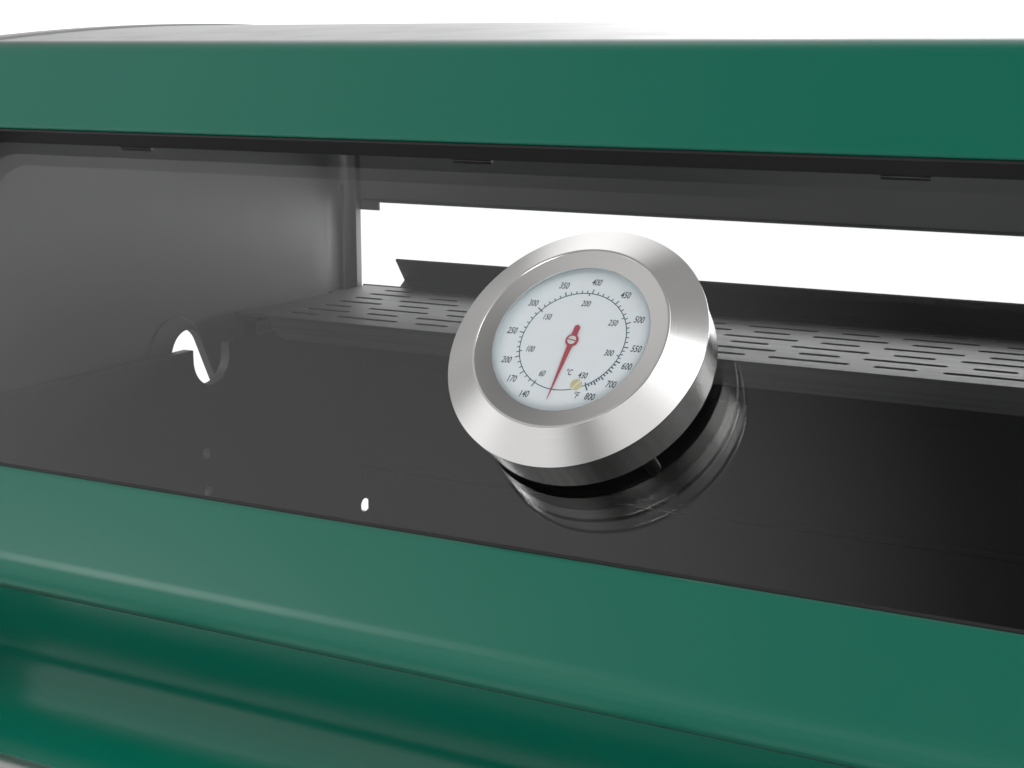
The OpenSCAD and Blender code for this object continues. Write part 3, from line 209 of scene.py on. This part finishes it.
class Finish:
    """A node material put together step by step. Patterns read Object coordinates, in metres."""

    def __init__(self, name, color, roughness, metallic=0.0, **sockets):
        self.material = bpy.data.materials.new(name)
        self.material.use_nodes = True
        self.tree = self.material.node_tree
        self.shader = self.tree.nodes["Principled BSDF"]
        self.color = color
        self.roughness = roughness
        self.set(self.shader, {"Base Color": (*color, 1), "Roughness": roughness, "Metallic": metallic})
        self.set(self.shader, {key.replace("_", " "): value for key, value in sockets.items()})
        self.object_co = self.node("ShaderNodeTexCoord").outputs["Object"]
        self.normal = None

    def set(self, node, values):
        for key, value in values.items():
            if isinstance(value, bpy.types.NodeSocket):
                self.tree.links.new(value, node.inputs[key])
            else:
                node.inputs[key].default_value = value

    def node(self, kind, values=None, **properties):
        """A new node, with its sockets' values or links, and its own properties."""
        node = self.tree.nodes.new(kind)
        for key, value in properties.items():
            setattr(node, key, value)
        self.set(node, values or {})
        return node

    def math(self, operation, first, second=0.0, third=0.0):
        return self.node("ShaderNodeMath", {0: first, 1: second, 2: third}, operation=operation).outputs[0]

    def vector(self, operation, first, second=(0, 0, 0)):
        return self.node("ShaderNodeVectorMath", {0: first, 1: second}, operation=operation).outputs[0]

    def mapped(self, scale=(1, 1, 1), turn=(0, 0, 0), shift=(0, 0, 0)):
        """Object coordinates, moved by shift, then turned, then scaled."""
        moved = self.vector("ADD", self.object_co, shift)
        turned = self.node("ShaderNodeMapping", {"Vector": moved, "Rotation": turn}).outputs[0]
        return self.vector("MULTIPLY", turned, scale)

    def noise(self, scale, detail=3.0, rough=0.5, vector=None, distortion=0.0):
        values = {"Scale": scale, "Detail": detail, "Roughness": rough, "Distortion": distortion}
        values["Vector"] = vector or self.object_co
        return self.node("ShaderNodeTexNoise", values).outputs["Fac"]

    def range(self, value, low, high, to_low=0.0, to_high=1.0):
        values = {"Value": value, "From Min": low, "From Max": high, "To Min": to_low, "To Max": to_high}
        return self.node("ShaderNodeMapRange", values).outputs["Result"]

    def mix(self, share, first, second):
        node = self.node("ShaderNodeMix", data_type="RGBA")
        self.set(node, {0: share, 6: first, 7: second})
        return node.outputs[2]

    def tint(self, share, color):
        """Blends the base colour towards another by a share from 0 to 1."""
        linked = self.shader.inputs["Base Color"].links
        before = linked[0].from_socket if linked else (*self.color, 1)
        self.set(self.shader, {"Base Color": self.mix(share, before, (*color, 1))})
        return self

    def rougher(self, share, roughness):
        """Blends the roughness towards another by a share from 0 to 1."""
        linked = self.shader.inputs["Roughness"].links
        before = linked[0].from_socket if linked else self.roughness
        node = self.node("ShaderNodeMix", {0: share, 2: before, 3: roughness}, data_type="FLOAT")
        self.set(self.shader, {"Roughness": node.outputs[0]})
        return self

    def bump(self, height, distance, strength=1.0):
        values = {"Height": height, "Distance": distance, "Strength": strength}
        if self.normal is not None:
            values["Normal"] = self.normal
        self.normal = self.node("ShaderNodeBump", values).outputs[0]
        self.set(self.shader, {"Normal": self.normal})
        return self

    def round_axis(self, centre, axis):
        """Distance from an axis through centre, and height along it."""
        turn = Vector(axis).rotation_difference(Vector((0, 0, 1))).to_euler()
        local = self.mapped(turn=tuple(turn), shift=tuple(-Vector(centre)))
        x, y, height = self.node("ShaderNodeSeparateXYZ", {0: local}).outputs
        return self.math("POWER", self.math("MULTIPLY_ADD", x, x, self.math("MULTIPLY", y, y)), 0.5), height

    def soft_edges(self, radius):
        """Rounds the shading of sharp edges, as a folded or cast edge is round."""
        self.normal = self.node("ShaderNodeBevel", {"Radius": radius}, samples=4).outputs[0]
        self.set(self.shader, {"Normal": self.normal})
        return self


def enamel(name, roughness):
    """Green powder enamel: satin gloss, with a painted grazing sheen that turns the colour grey where it is seen
    flat along, and a fine orange peel.
    """
    f = Finish(name, (0.0006, 0.099, 0.063), roughness, Specular_IOR_Level=0.5)
    f.soft_edges(0.002)
    f.tint(f.range(f.noise(9, 3), 0.35, 0.7, 0.0, 0.2), (0.001, 0.106, 0.069))
    f.rougher(f.range(f.noise(40, 3), 0.4, 0.7), roughness + 0.03)
    # Painted sheen: the base colour turns dark grey where the surface is seen flat along
    facing = f.node("ShaderNodeLayerWeight", {"Blend": 0.5}).outputs["Facing"]
    f.tint(f.range(f.math("POWER", facing, 3.0), 0.15, 0.6), (0.012, 0.016, 0.014))
    f.bump(f.noise(420, 2), 0.00006, 0.25)
    return f.material


def cast_paint(name, color):
    """Grey paint on an aluminium casting: satin, with a faint fine grain and soft stains of heat."""
    f = Finish(name, color, 0.42, Specular_IOR_Level=0.5)
    f.soft_edges(0.0012)
    f.tint(f.range(f.noise(14, 4), 0.4, 0.75, 0.0, 0.3), tuple(0.85 * part for part in color))
    f.rougher(f.range(f.noise(60, 3), 0.35, 0.7), 0.48)
    f.bump(f.noise(800, 2), 0.00003, 0.12)
    return f.material


def sheet_paint(name, color, roughness):
    """Stoved paint on folded sheet: fine grain, slight clouds."""
    f = Finish(name, color, roughness, Specular_IOR_Level=0.4)
    f.soft_edges(0.0006)
    darker = tuple(0.7 * part for part in color)
    f.tint(f.range(f.noise(12, 4), 0.4, 0.75, 0.0, 0.5), darker)
    f.rougher(f.range(f.noise(55, 3), 0.35, 0.7), min(1.0, roughness + 0.12))
    f.bump(f.noise(700, 3), 0.00006, 0.3)
    return f.material


def brushed_steel(name, color, roughness, along="X"):
    """Steel sheet or bar with fine grinding lines along one axis."""
    f = Finish(name, color, roughness, 1.0)
    f.soft_edges(0.0005)
    stretch = {"X": (6, 900, 900), "Y": (900, 6, 900), "Z": (900, 900, 6)}[along]
    lines = f.noise(1.0, 3, vector=f.mapped(stretch))
    f.tint(f.range(lines, 0.3, 0.7, 0.0, 0.35), tuple(0.72 * part for part in color))
    f.rougher(f.range(lines, 0.3, 0.7), roughness + 0.14)
    f.bump(lines, 0.00002, 0.35)
    return f.material


def turned_steel(name, color, roughness, centre, axis):
    """Steel turned on a lathe: fine rings round an axis through centre, and the fan of light that runs
    across them. The grain lies along the cross product of the axis and the way from the centre."""
    f = Finish(name, color, roughness, 1.0, Anisotropic=BEZEL_GRAIN)
    from_centre = f.vector("ADD", f.object_co, tuple(-Vector(centre)))
    grain = f.vector("CROSS_PRODUCT", tuple(axis), from_centre)
    f.set(f.shader, {"Tangent": f.vector("NORMALIZE", grain)})
    radius, height = f.round_axis(centre, axis)
    ring = f.node("ShaderNodeCombineXYZ", {0: f.math("MULTIPLY", radius, LATHE_RINGS),
                                           1: f.math("MULTIPLY", height, LATHE_RINGS)}).outputs[0]
    lines = f.noise(1.0, 2, vector=ring)
    f.tint(f.range(lines, 0.3, 0.7, 0.0, 0.2), tuple(0.86 * part for part in color))
    f.rougher(f.range(lines, 0.3, 0.7), roughness + 0.05)
    f.bump(lines, 0.000008, 0.1)
    return f.material


def clear_glass(name, tint, share, wear):
    """Thin clear glass. Light goes straight through, and the gloss grows towards grazing angles by the
    fifth power of how far the surface turns away, which is the same from both faces of a pane."""
    f = Finish(name, tint, 0.03)
    clear = f.node("ShaderNodeBsdfTransparent", {"Color": (*tint, 1)})
    gloss = f.node("ShaderNodeBsdfGlossy", {"Roughness": f.range(f.noise(35, 4), 0.5, 0.75, 0.008, wear)})
    facing = f.node("ShaderNodeLayerWeight", {"Blend": 0.5}).outputs["Facing"]
    edge = f.math("POWER", facing, 5.0)
    amount = f.math("MULTIPLY", f.math("MULTIPLY_ADD", edge, 0.96, 0.04), share)
    mixed = f.node("ShaderNodeMixShader", {0: amount, 1: clear.outputs[0], 2: gloss.outputs[0]})
    f.tree.links.new(mixed.outputs[0], f.tree.nodes["Material Output"].inputs["Surface"])
    f.tree.nodes.remove(f.shader)
    return f.material


def cast_iron():
    """Black enamelled cast iron: pitted, matt, a little brown where it has been hot."""
    f = Finish("cast_iron", (0.022, 0.022, 0.022), 0.62, Specular_IOR_Level=0.35)
    f.soft_edges(0.0012)
    f.tint(f.range(f.noise(30, 5), 0.5, 0.8, 0.0, 0.5), (0.045, 0.032, 0.024))
    f.bump(f.noise(500, 4), 0.0003, 0.5)
    return f.material


def burner_steel():
    """Dull stainless tube with straw and blue stains of heat."""
    f = Finish("burner_steel", (0.4, 0.38, 0.35), 0.38, 1.0)
    f.tint(f.range(f.noise(18, 4), 0.45, 0.7, 0.0, 0.6), (0.28, 0.2, 0.13))
    f.tint(f.range(f.noise(25, 4, distortion=1.0), 0.58, 0.75, 0.0, 0.45), (0.16, 0.18, 0.26))
    f.bump(f.noise(600, 3), 0.00004, 0.3)
    return f.material


def moulded(name, color, roughness, grain=0.00005):
    """Moulded plastic or rubber with a fine even grain."""
    f = Finish(name, color, roughness, Specular_IOR_Level=0.45)
    f.soft_edges(0.0006)
    f.tint(f.range(f.noise(50, 3), 0.4, 0.7, 0.0, 0.3), tuple(0.75 * part for part in color))
    f.bump(f.noise(1300, 2), grain, 0.4)
    return f.material


def dial_white():
    """Painted dial: white, with painted shade, darker and colder, towards its rim where the bezel's wall shades
    it.
    """
    f = Finish("dial_face", (0.62, 0.635, 0.64), 0.55, Specular_IOR_Level=0.3)
    radius, _ = f.round_axis(NEEDLE_AT, GAUGE_OUT)
    f.tint(f.range(f.noise(300, 2), 0.3, 0.7, 0.0, 0.12), (0.55, 0.57, 0.58))
    # Painted shade: darker and colder towards the rim, where the dial sits deep in the bezel's cup
    f.tint(f.range(radius, RIM_SHADE_FROM_R, RIM_SHADE_TO_R, 0.0, 0.6), (0.36, 0.43, 0.455))
    return f.material


def printed(name, color):
    """Flat print or paint of one colour, with a trace of grain."""
    f = Finish(name, color, 0.5, Specular_IOR_Level=0.3)
    f.tint(f.range(f.noise(900, 2), 0.3, 0.7, 0.0, 0.2), tuple(1.25 * part for part in color))
    return f.material


def brass():
    """Cast brass, browned in patches."""
    f = Finish("valve_brass", (0.62, 0.44, 0.17), 0.34, 1.0)
    f.soft_edges(0.0006)
    f.tint(f.range(f.noise(45, 4), 0.4, 0.75, 0.0, 0.6), (0.34, 0.23, 0.1))
    f.bump(f.noise(700, 3), 0.00005, 0.3)
    return f.material


def make_finishes():
    """One material for each slot of the record."""
    return {
        "green_enamel": enamel("green_enamel", 0.29),
        "panel_enamel": enamel("panel_enamel", 0.13),
        "grey_casting": cast_paint("grey_casting", (0.1, 0.1, 0.098)),
        # Painted light: the hood's castings take the grey casting paint made lighter, to brighten the walls under
        # the hood's roof
        "hood_casting_lit_copy": cast_paint("hood_casting_lit_copy", (0.19, 0.19, 0.187)),
        "grey_paint": sheet_paint("grey_paint", (0.075, 0.076, 0.075), 0.45),
        "dark_enamel": sheet_paint("dark_enamel", (0.034, 0.034, 0.032), 0.36),
        "shelf_paint": sheet_paint("shelf_paint", (0.24, 0.24, 0.235), 0.4),
        "window_black": sheet_paint("window_black", (0.01, 0.01, 0.01), 0.4),
        "window_glass": clear_glass("window_glass", (0.95, 0.955, 0.955), 1.6, 0.012),
        "lens_glass": clear_glass("lens_glass", (0.975, 0.985, 0.99), 0.5, 0.012),
        "gasket_rubber": moulded("gasket_rubber", (0.006, 0.006, 0.006), 0.6),
        "bright_steel": brushed_steel("bright_steel", (0.62, 0.62, 0.61), 0.24),
        "rack_steel": brushed_steel("rack_steel", (0.225, 0.225, 0.222), 0.46),
        "dial_face": dial_white(),
        "needle_red": printed("needle_red", (0.33, 0.05, 0.07)),
        "plain_steel": brushed_steel("plain_steel", (0.42, 0.42, 0.41), 0.34),
        "cast_iron": cast_iron(),
        "burner_steel": burner_steel(),
        "valve_brass": brass(),
        "knob_black": moulded("knob_black", (0.022, 0.022, 0.022), 0.42),
        "button_red": moulded("button_red", (0.38, 0.02, 0.03), 0.3),
        "ceramic_white": moulded("ceramic_white", (0.62, 0.6, 0.54), 0.22),
        "tyre_black": moulded("tyre_black", (0.02, 0.02, 0.02), 0.55, 0.0001),
    }


def paint(obj, material):
    obj.data.materials.clear()
    obj.data.materials.append(material)


def finish_nodes(finishes):
    """Every solid takes the finish of its slot. The bezel, the rack, the panel and the castings of the
    hood have their own; the castings of the hood take a lighter copy of the grey casting paint, painted light
    for the walls under the roof, and the bezel gets its thin step."""
    for name, node in NODES.items():
        paint(node, finishes[SLOT_OF[name]])
    bezel = turned_steel("bezel_steel", (0.8, 0.79, 0.78), 0.16, NEEDLE_AT, GAUGE_OUT)
    paint(NODES["thermometer_bezel"], bezel)
    step = placed(flat_ring(STEP_R, STEP_W, STEP_LOW, STEP_HIGH, CIRCLE_STEPS), GAUGE)
    add_piece("bezel_step", closed_loops("bezel_step", step), "hood",
              bezel)
    paint(NODES["warming_rack"], finishes["rack_steel"])
    paint(NODES["control_panel"], finishes["panel_enamel"])
    # Painted light: the lighter copy of the casting paint goes on the hood's castings
    for name in ("hood_side_left", "hood_side_right", "hood_rear_panel"):
        paint(NODES[name], finishes["hood_casting_lit_copy"])


# Meshes from grids


def add_piece(name, mesh, body, material):
    """A new piece rides on a body, and takes the finish it is given."""
    piece = bpy.data.objects.new(name, mesh)
    bpy.context.scene.collection.objects.link(piece)
    paint(piece, material)
    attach(piece, body)
    return piece


def closed_loops(name, points):
    """Rings of points carried round closed loops, shape (loops, stations, ring, 3): a tube that joins
    its own start."""
    loops, stations, ring, _ = points.shape
    at = np.arange(loops * stations * ring).reshape(loops, stations, ring)
    quads = np.stack([at, np.roll(at, -1, 1), np.roll(np.roll(at, -1, 1), -1, 2), np.roll(at, -1, 2)], -1)
    return solid_mesh(name, points.reshape(-1, 3), quads.reshape(-1, 4).tolist())


def capped_bars(name, points):
    """Rings of points carried along open paths, shape (bars, stations, ring, 3), closed at both ends."""
    bars, stations, ring, _ = points.shape
    at = np.arange(bars * stations * ring).reshape(bars, stations, ring)
    near, far = at[:, :-1], at[:, 1:]
    quads = np.stack([near, far, np.roll(far, -1, 2), np.roll(near, -1, 2)], -1).reshape(-1, 4).tolist()
    ends = at[:, 0, ::-1].tolist() + at[:, -1, :].tolist()
    return solid_mesh(name, points.reshape(-1, 3), quads + ends)


def solid_mesh(name, points, faces):
    """A mesh whose coincident points are merged and whose faces look outwards."""
    mesh = bpy.data.meshes.new(name)
    mesh.from_pydata(points.tolist(), [], faces)
    work = bmesh.new()
    work.from_mesh(mesh)
    bmesh.ops.remove_doubles(work, verts=work.verts, dist=MERGE)
    bmesh.ops.dissolve_degenerate(work, edges=work.edges, dist=MERGE)
    bmesh.ops.recalc_face_normals(work, faces=work.faces)
    work.to_mesh(mesh)
    work.free()
    return mesh


def placed(points, matrix):
    """Points (..., 3) taken from a piece's own axes into the grill's."""
    turn = np.array(matrix.to_3x3())
    return points @ turn.T + np.array(matrix.translation)


def joined(name, meshes):
    """One mesh from several."""
    work = bmesh.new()
    for mesh in meshes:
        work.from_mesh(mesh)
        bpy.data.meshes.remove(mesh)
    whole = bpy.data.meshes.new(name)
    work.to_mesh(whole)
    work.free()
    return whole


# Thermometer: print of the dial, screws


def ink_boxes(boxes, low, high):
    """Flat bars of ink. Each row gives angle, inner radius, outer radius and width; the bar runs along
    its radius, and stands from low to high above the dial."""
    angle, inner, outer, width = np.array(boxes, float).T
    along = np.stack([np.sin(angle), np.cos(angle)], -1)
    across = np.stack([np.cos(angle), -np.sin(angle)], -1)
    flat = np.stack([along * inner[:, None] - across * width[:, None] / 2,
                     along * inner[:, None] + across * width[:, None] / 2,
                     along * outer[:, None] + across * width[:, None] / 2,
                     along * outer[:, None] - across * width[:, None] / 2], 1)
    level = np.array([low, high])[None, :, None, None]
    both = np.concatenate([np.broadcast_to(flat[:, None], (len(flat), 2, 4, 2)),
                           np.broadcast_to(level, (len(flat), 2, 4, 1))], -1)
    return both


def flat_ring(radius, width, low, high, steps):
    """A flat closed band: a rectangle, width across and from low to high, carried round a circle."""
    turn = np.linspace(0, 2 * math.pi, steps, endpoint=False)
    reach = radius + width / 2 * np.array([-1, 1, 1, -1])
    height = np.array([low, low, high, high])
    x = np.sin(turn)[:, None] * reach
    y = np.cos(turn)[:, None] * reach
    return np.stack([x, y, np.broadcast_to(height, x.shape)], -1)[None]


def lettering(text, height, at, low):
    """Sloping narrow figures of a given height, their middle at a point of the dial."""
    curve = bpy.data.curves.new("figures", "FONT")
    curve.body = text
    curve.align_x = "CENTER"
    curve.shear = FIGURE_SLOPE
    curve.resolution_u = 3
    curve.extrude = 0.5
    curve.offset = FIGURE_BOLDER
    holder = bpy.data.objects.new("figures", curve)
    bpy.context.scene.collection.objects.link(holder)
    bpy.context.view_layer.update()
    mesh = bpy.data.meshes.new_from_object(holder.evaluated_get(bpy.context.evaluated_depsgraph_get()))
    bpy.data.objects.remove(holder)
    bpy.data.curves.remove(curve)
    points = np.empty(len(mesh.vertices) * 3)
    mesh.vertices.foreach_get("co", points)
    points = points.reshape(-1, 3)
    lowest, highest = points.min(0), points.max(0)
    scale = height / (highest[1] - lowest[1])
    points[:, :2] -= (lowest[:2] + highest[:2]) / 2
    points *= (scale * FIGURE_W_SHARE, scale, INK_THICK)
    points += (at[0], at[1], low + INK_THICK / 2)
    mesh.vertices.foreach_set("co", placed(points, GAUGE).ravel())
    mesh.update()
    return mesh


def dial_print():
    """Two scales on one circle: the outer one in degrees Fahrenheit, the inner one in Celsius."""
    low = INK_SUNK - NEEDLE_OVER_DIAL
    high = low + INK_THICK
    rows = []
    for (start, parts), (end, _) in zip(OUTER_SCALE, OUTER_SCALE[1:] + [(SCALE_END, 0)]):
        sweep = (end - start) % 360
        for part in range(parts):
            long = part == 0
            bold = start > BOLD_FROM and start < BOLD_TO
            reach = LONG_TICK if long else SHORT_TICK
            width = BOLD_TICK_W if bold else (LONG_TICK_W if long else TICK_W)
            rows.append((math.radians(start + sweep * part / parts), CIRCLE_R, CIRCLE_R + reach, width))
    rows.append((math.radians(SCALE_END), CIRCLE_R, CIRCLE_R + END_TICK, BOLD_TICK_W))
    for _, at in INNER_SCALE:
        rows.append((math.radians(at), CIRCLE_R - INNER_TICK, CIRCLE_R, LONG_TICK_W))
    lines = capped_bars("scale_ticks", placed(ink_boxes(rows, low, high), GAUGE))
    circle = flat_ring(CIRCLE_R, CIRCLE_W, low, high, CIRCLE_STEPS)
    ring = closed_loops("scale_circle", placed(circle, GAUGE))
    add_piece("dial_scale", joined("dial_scale", [lines, ring]), "hood",
              printed("scale_ink", (0.035, 0.085, 0.115)))
    figures = []
    for value, at, out in OUTER_FIGURES:
        figures.append(lettering(str(value), OUTER_FIGURE_H, polar(OUTER_FIGURES_R + out, at), low))
    for value, at in INNER_SCALE:
        figures.append(lettering(str(value), INNER_FIGURE_H, polar(INNER_FIGURES_R, at), low))
    figures.append(lettering("\u00b0F", OUTER_FIGURE_H, polar(*FAHRENHEIT_AT), low))
    figures.append(lettering("\u00b0C", INNER_FIGURE_H, polar(*CELSIUS_AT), low))
    add_piece("dial_figures", joined("dial_figures", figures), "hood",
              printed("figure_ink", (0.04, 0.055, 0.065)))


def polar(radius, angle):
    """A point of the dial, at an angle clockwise from the top in degrees."""
    return radius * math.sin(math.radians(angle)), radius * math.cos(math.radians(angle))


def slotted_head(name, centre, radius, height, low, turn):
    """A screw head: a shallow dome, height times one minus the square of the radius's share, cut by a
    straight slot. Each half is a loop (slot wall, dome, rim, floor) carried along the slot."""
    gap = radius * SLOT_SHARE
    along = np.linspace(-0.97, 0.97, 15) * radius
    reach = np.sqrt(radius ** 2 - along ** 2)
    share = np.linspace(0, 1, 7)
    halves = []
    for side in (-1, 1):
        x = gap + (np.maximum(reach, gap * 1.05) - gap)[:, None] * share
        dome = height * (1 - DOME_SHARE * (x ** 2 + along[:, None] ** 2) / radius ** 2)
        y = np.broadcast_to(along[:, None], x.shape)
        top = np.stack([side * x, y, low + dome], -1)
        floor = np.stack([side * x[:, ::-1], y, np.full(x.shape, low)], -1)
        halves.append(np.concatenate([top, floor], 1))
    points = np.stack(halves)
    cos, sin = math.cos(math.radians(turn)), math.sin(math.radians(turn))
    points = np.stack([centre[0] + cos * points[..., 0] + sin * points[..., 1],
                       centre[1] - sin * points[..., 0] + cos * points[..., 1], points[..., 2]], -1)
    return capped_bars(name, placed(points, GAUGE))


def dial_screws():
    """Hub screw of the needle, and the brass screw that sets the scale."""
    hub = slotted_head("needle_hub_screw", (0, 0), HUB_R, HUB_H, NEEDLE_TOP - HUB_SUNK, HUB_TURN)
    add_piece("needle_hub_screw", hub, "needle", printed("hub_nickel", (0.5, 0.5, 0.48)))
    setter = slotted_head("scale_screw", polar(*SCALE_SCREW_AT), SCALE_SCREW_R, SCALE_SCREW_H,
                          SCALE_SCREW_UP - NEEDLE_OVER_DIAL, SCALE_SCREW_TURN)
    add_piece("scale_screw", setter, "hood", printed("pale_brass", (0.46, 0.41, 0.22)))


# Warming rack: rolled edges of the slots


def rolled_slots(finishes):
    """The sheet turned down at each slot: the edge's section carried round two half circles joined by
    straight sides."""
    low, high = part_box("warming_rack")
    row, col = np.meshgrid(np.arange(SLOT_ROWS), np.arange(SLOT_COLS), indexing="ij")
    row, col = row.ravel(), col.ravel()
    middle = SLOT_PITCH * (col - (SLOT_COLS - 1) / 2)
    half = np.where((row + col) % 2 == 1, SLOT_LONG, SLOT_SHORT) / 2
    limit = high.x - SLOT_LIMIT_IN
    start = np.maximum(middle - half, -limit) + SLOT_SHIFT
    end = np.minimum(middle + half, limit) + SLOT_SHIFT
    y = low.y + ROW_IN + row * ROW_PITCH
    around = (np.arange(EDGE_STATIONS) + 0.5) * 2 * math.pi / EDGE_STATIONS
    reach, height = np.array(ROLLED_EDGE).T
    reach = reach + SLOT_W / 2
    centre = np.where(np.cos(around) > 0, end[:, None] - SLOT_W / 2, start[:, None] + SLOT_W / 2)
    x = centre[:, :, None] + np.cos(around)[None, :, None] * reach
    side = y[:, None, None] + np.sin(around)[None, :, None] * reach
    points = np.stack([x, side, np.broadcast_to(high.z + height, x.shape)], -1)
    add_piece("rolled_slots", closed_loops("rolled_slots", points), BODY_OF["warming_rack"],
              finishes["rack_steel"])


# Control panel: pointers on the knobs, marks round them


def knob_frame(joint):
    """Axes of a knob: right, up the panel, out of it; the origin is on its axis, at its face."""
    out = Vector(JOINTS[joint]["axis"]).normalized()
    right = Vector((1, 0, 0))
    turn = Matrix((right, out.cross(right), out)).transposed().to_4x4()
    return Matrix.Translation(Vector(JOINTS[joint]["pos_m"])) @ turn


def reach_along(node, matrix):
    """Lowest and highest place of a node's points along a frame's third axis."""
    points = np.empty(len(NODES[node].data.vertices) * 3)
    NODES[node].data.vertices.foreach_get("co", points)
    out = np.array(matrix.to_3x3().col[2])
    along = (points.reshape(-1, 3) - np.array(matrix.translation)) @ out
    return along.min(), along.max()


def knob_details(finishes):
    """A white line let into each knob's grip, and on the panel a dot at the top and a wedge of paint that
    thins from high, a quarter turn from the top, to low, half a turn from it. The wedge is a rectangle
    carried along an arc, its width shrinking evenly."""
    white = printed("mark_white", (0.62, 0.62, 0.6))
    for side in ("left", "middle", "right"):
        matrix = knob_frame(side + "_knob_turn")
        _, top = reach_along("knob_" + side, matrix)
        line = np.array([[(-1, 1), (1, 1), (1, 0), (-1, 0)]] * 2, float)
        line = line * (POINTER_W / 2, POINTER_LEN) + (0, KNOB_R - POINTER_LEN - POINTER_IN)
        level = np.array([top - INK_THICK, top + POINTER_UP])[:, None, None]
        line = np.concatenate([line, np.broadcast_to(level, (2, 4, 1))], -1)
        mesh = capped_bars("pointer", placed(line[None], matrix))
        add_piece("knob_pointer_" + side, mesh, BODY_OF["knob_" + side], white)
        low, _ = reach_along("knob_bezels", matrix)
        turn = np.radians(np.linspace(MARK_FROM, MARK_TO, MARK_STATIONS))
        wide = np.linspace(MARK_WIDE, MARK_THIN, MARK_STATIONS) / 2
        inner, outer = MARK_R - wide, MARK_R + wide
        corners = ((inner, -INK_THICK), (outer, -INK_THICK), (outer, INK_THICK), (inner, INK_THICK))
        section = np.stack([np.stack([np.sin(turn) * r, np.cos(turn) * r, np.full(MARK_STATIONS, low + h)], -1)
                            for r, h in corners], 1)
        dot_turn = np.linspace(0, 2 * math.pi, DOT_STATIONS, endpoint=False)
        dot = np.stack([np.stack([MARK_DOT * np.cos(dot_turn), MARK_R + MARK_DOT * np.sin(dot_turn),
                                  np.full(DOT_STATIONS, low + h)], -1) for h in (-INK_THICK, INK_THICK)])
        mesh = joined("mark", [capped_bars("wedge", placed(section[None], matrix)),
                               capped_bars("dot", placed(dot[None], matrix))])
        add_piece("knob_mark_" + side, mesh, BODY_OF["control_panel"], white)


# Stage


def make_world():
    """Light from a smooth sky, the sum of soft round patches, each a smooth step of the cosine of the
    angle from its middle; and white behind the grill for the eye."""
    world = bpy.data.worlds.new("studio")
    bpy.context.scene.world = world
    world.use_nodes = True
    tree = world.node_tree
    tree.nodes.clear()
    toward = tree.nodes.new("ShaderNodeTexCoord").outputs["Generated"]

    def math_of(operation, first, second=0.0, third=0.0):
        node = tree.nodes.new("ShaderNodeMath")
        node.operation = operation
        for socket, value in zip(node.inputs, (first, second, third)):
            if isinstance(value, bpy.types.NodeSocket):
                tree.links.new(value, socket)
            else:
                socket.default_value = value
        return node.outputs[0]

    light = 0.0
    for turn, lift, strength, even, faded in SKY_PATCHES:
        turn, lift = math.radians(turn), math.radians(lift)
        aim = tree.nodes.new("ShaderNodeVectorMath")
        aim.operation = "DOT_PRODUCT"
        tree.links.new(toward, aim.inputs[0])
        level = math.cos(lift)
        aim.inputs[1].default_value = (math.sin(turn) * level, -math.cos(turn) * level, math.sin(lift))
        patch = tree.nodes.new("ShaderNodeMapRange")
        patch.interpolation_type = "SMOOTHSTEP"
        patch.inputs["From Min"].default_value = math.cos(math.radians(faded))
        patch.inputs["From Max"].default_value = math.cos(math.radians(even))
        tree.links.new(aim.outputs["Value"], patch.inputs["Value"])
        light = math_of("MULTIPLY_ADD", patch.outputs["Result"], strength, light)
    lit = tree.nodes.new("ShaderNodeBackground")
    tree.links.new(light, lit.inputs["Color"])
    seen = tree.nodes.new("ShaderNodeBackground")
    seen.inputs["Color"].default_value = (1, 1, 1, 1)
    seen.inputs["Strength"].default_value = WHITE_BEHIND
    path = tree.nodes.new("ShaderNodeLightPath")
    mixed = tree.nodes.new("ShaderNodeMixShader")
    tree.links.new(path.outputs["Is Camera Ray"], mixed.inputs[0])
    tree.links.new(lit.outputs[0], mixed.inputs[1])
    tree.links.new(seen.outputs[0], mixed.inputs[2])
    out = tree.nodes.new("ShaderNodeOutputWorld")
    tree.links.new(mixed.outputs[0], out.inputs["Surface"])


def make_floor():
    """A pale round floor that fades into the white background."""
    turn = np.linspace(0, 2 * math.pi, FLOOR_STEPS, endpoint=False)
    points = np.stack([FLOOR_R * np.cos(turn), FLOOR_R * np.sin(turn), np.full(FLOOR_STEPS, -FLOOR_DOWN)], 1)
    mesh = bpy.data.meshes.new("floor")
    mesh.from_pydata(points.tolist(), [], [list(range(FLOOR_STEPS))])
    floor = bpy.data.objects.new("floor", mesh)
    bpy.context.scene.collection.objects.link(floor)
    f = Finish("floor_paint", (0.78, 0.78, 0.77), 0.6, Specular_IOR_Level=0.2)
    length = f.node("ShaderNodeVectorMath", {0: f.object_co}, operation="LENGTH").outputs["Value"]
    f.set(f.shader, {"Alpha": f.range(length, FADES_FROM, FADES_TO, 1.0, 0.0)})
    paint(floor, f.material)


make_camera()
make_world()
make_floor()
finishes = make_finishes()
finish_nodes(finishes)
dial_print()
dial_screws()
rolled_slots(finishes)
knob_details(finishes)
bpy.context.scene.view_settings.view_transform = "Standard"
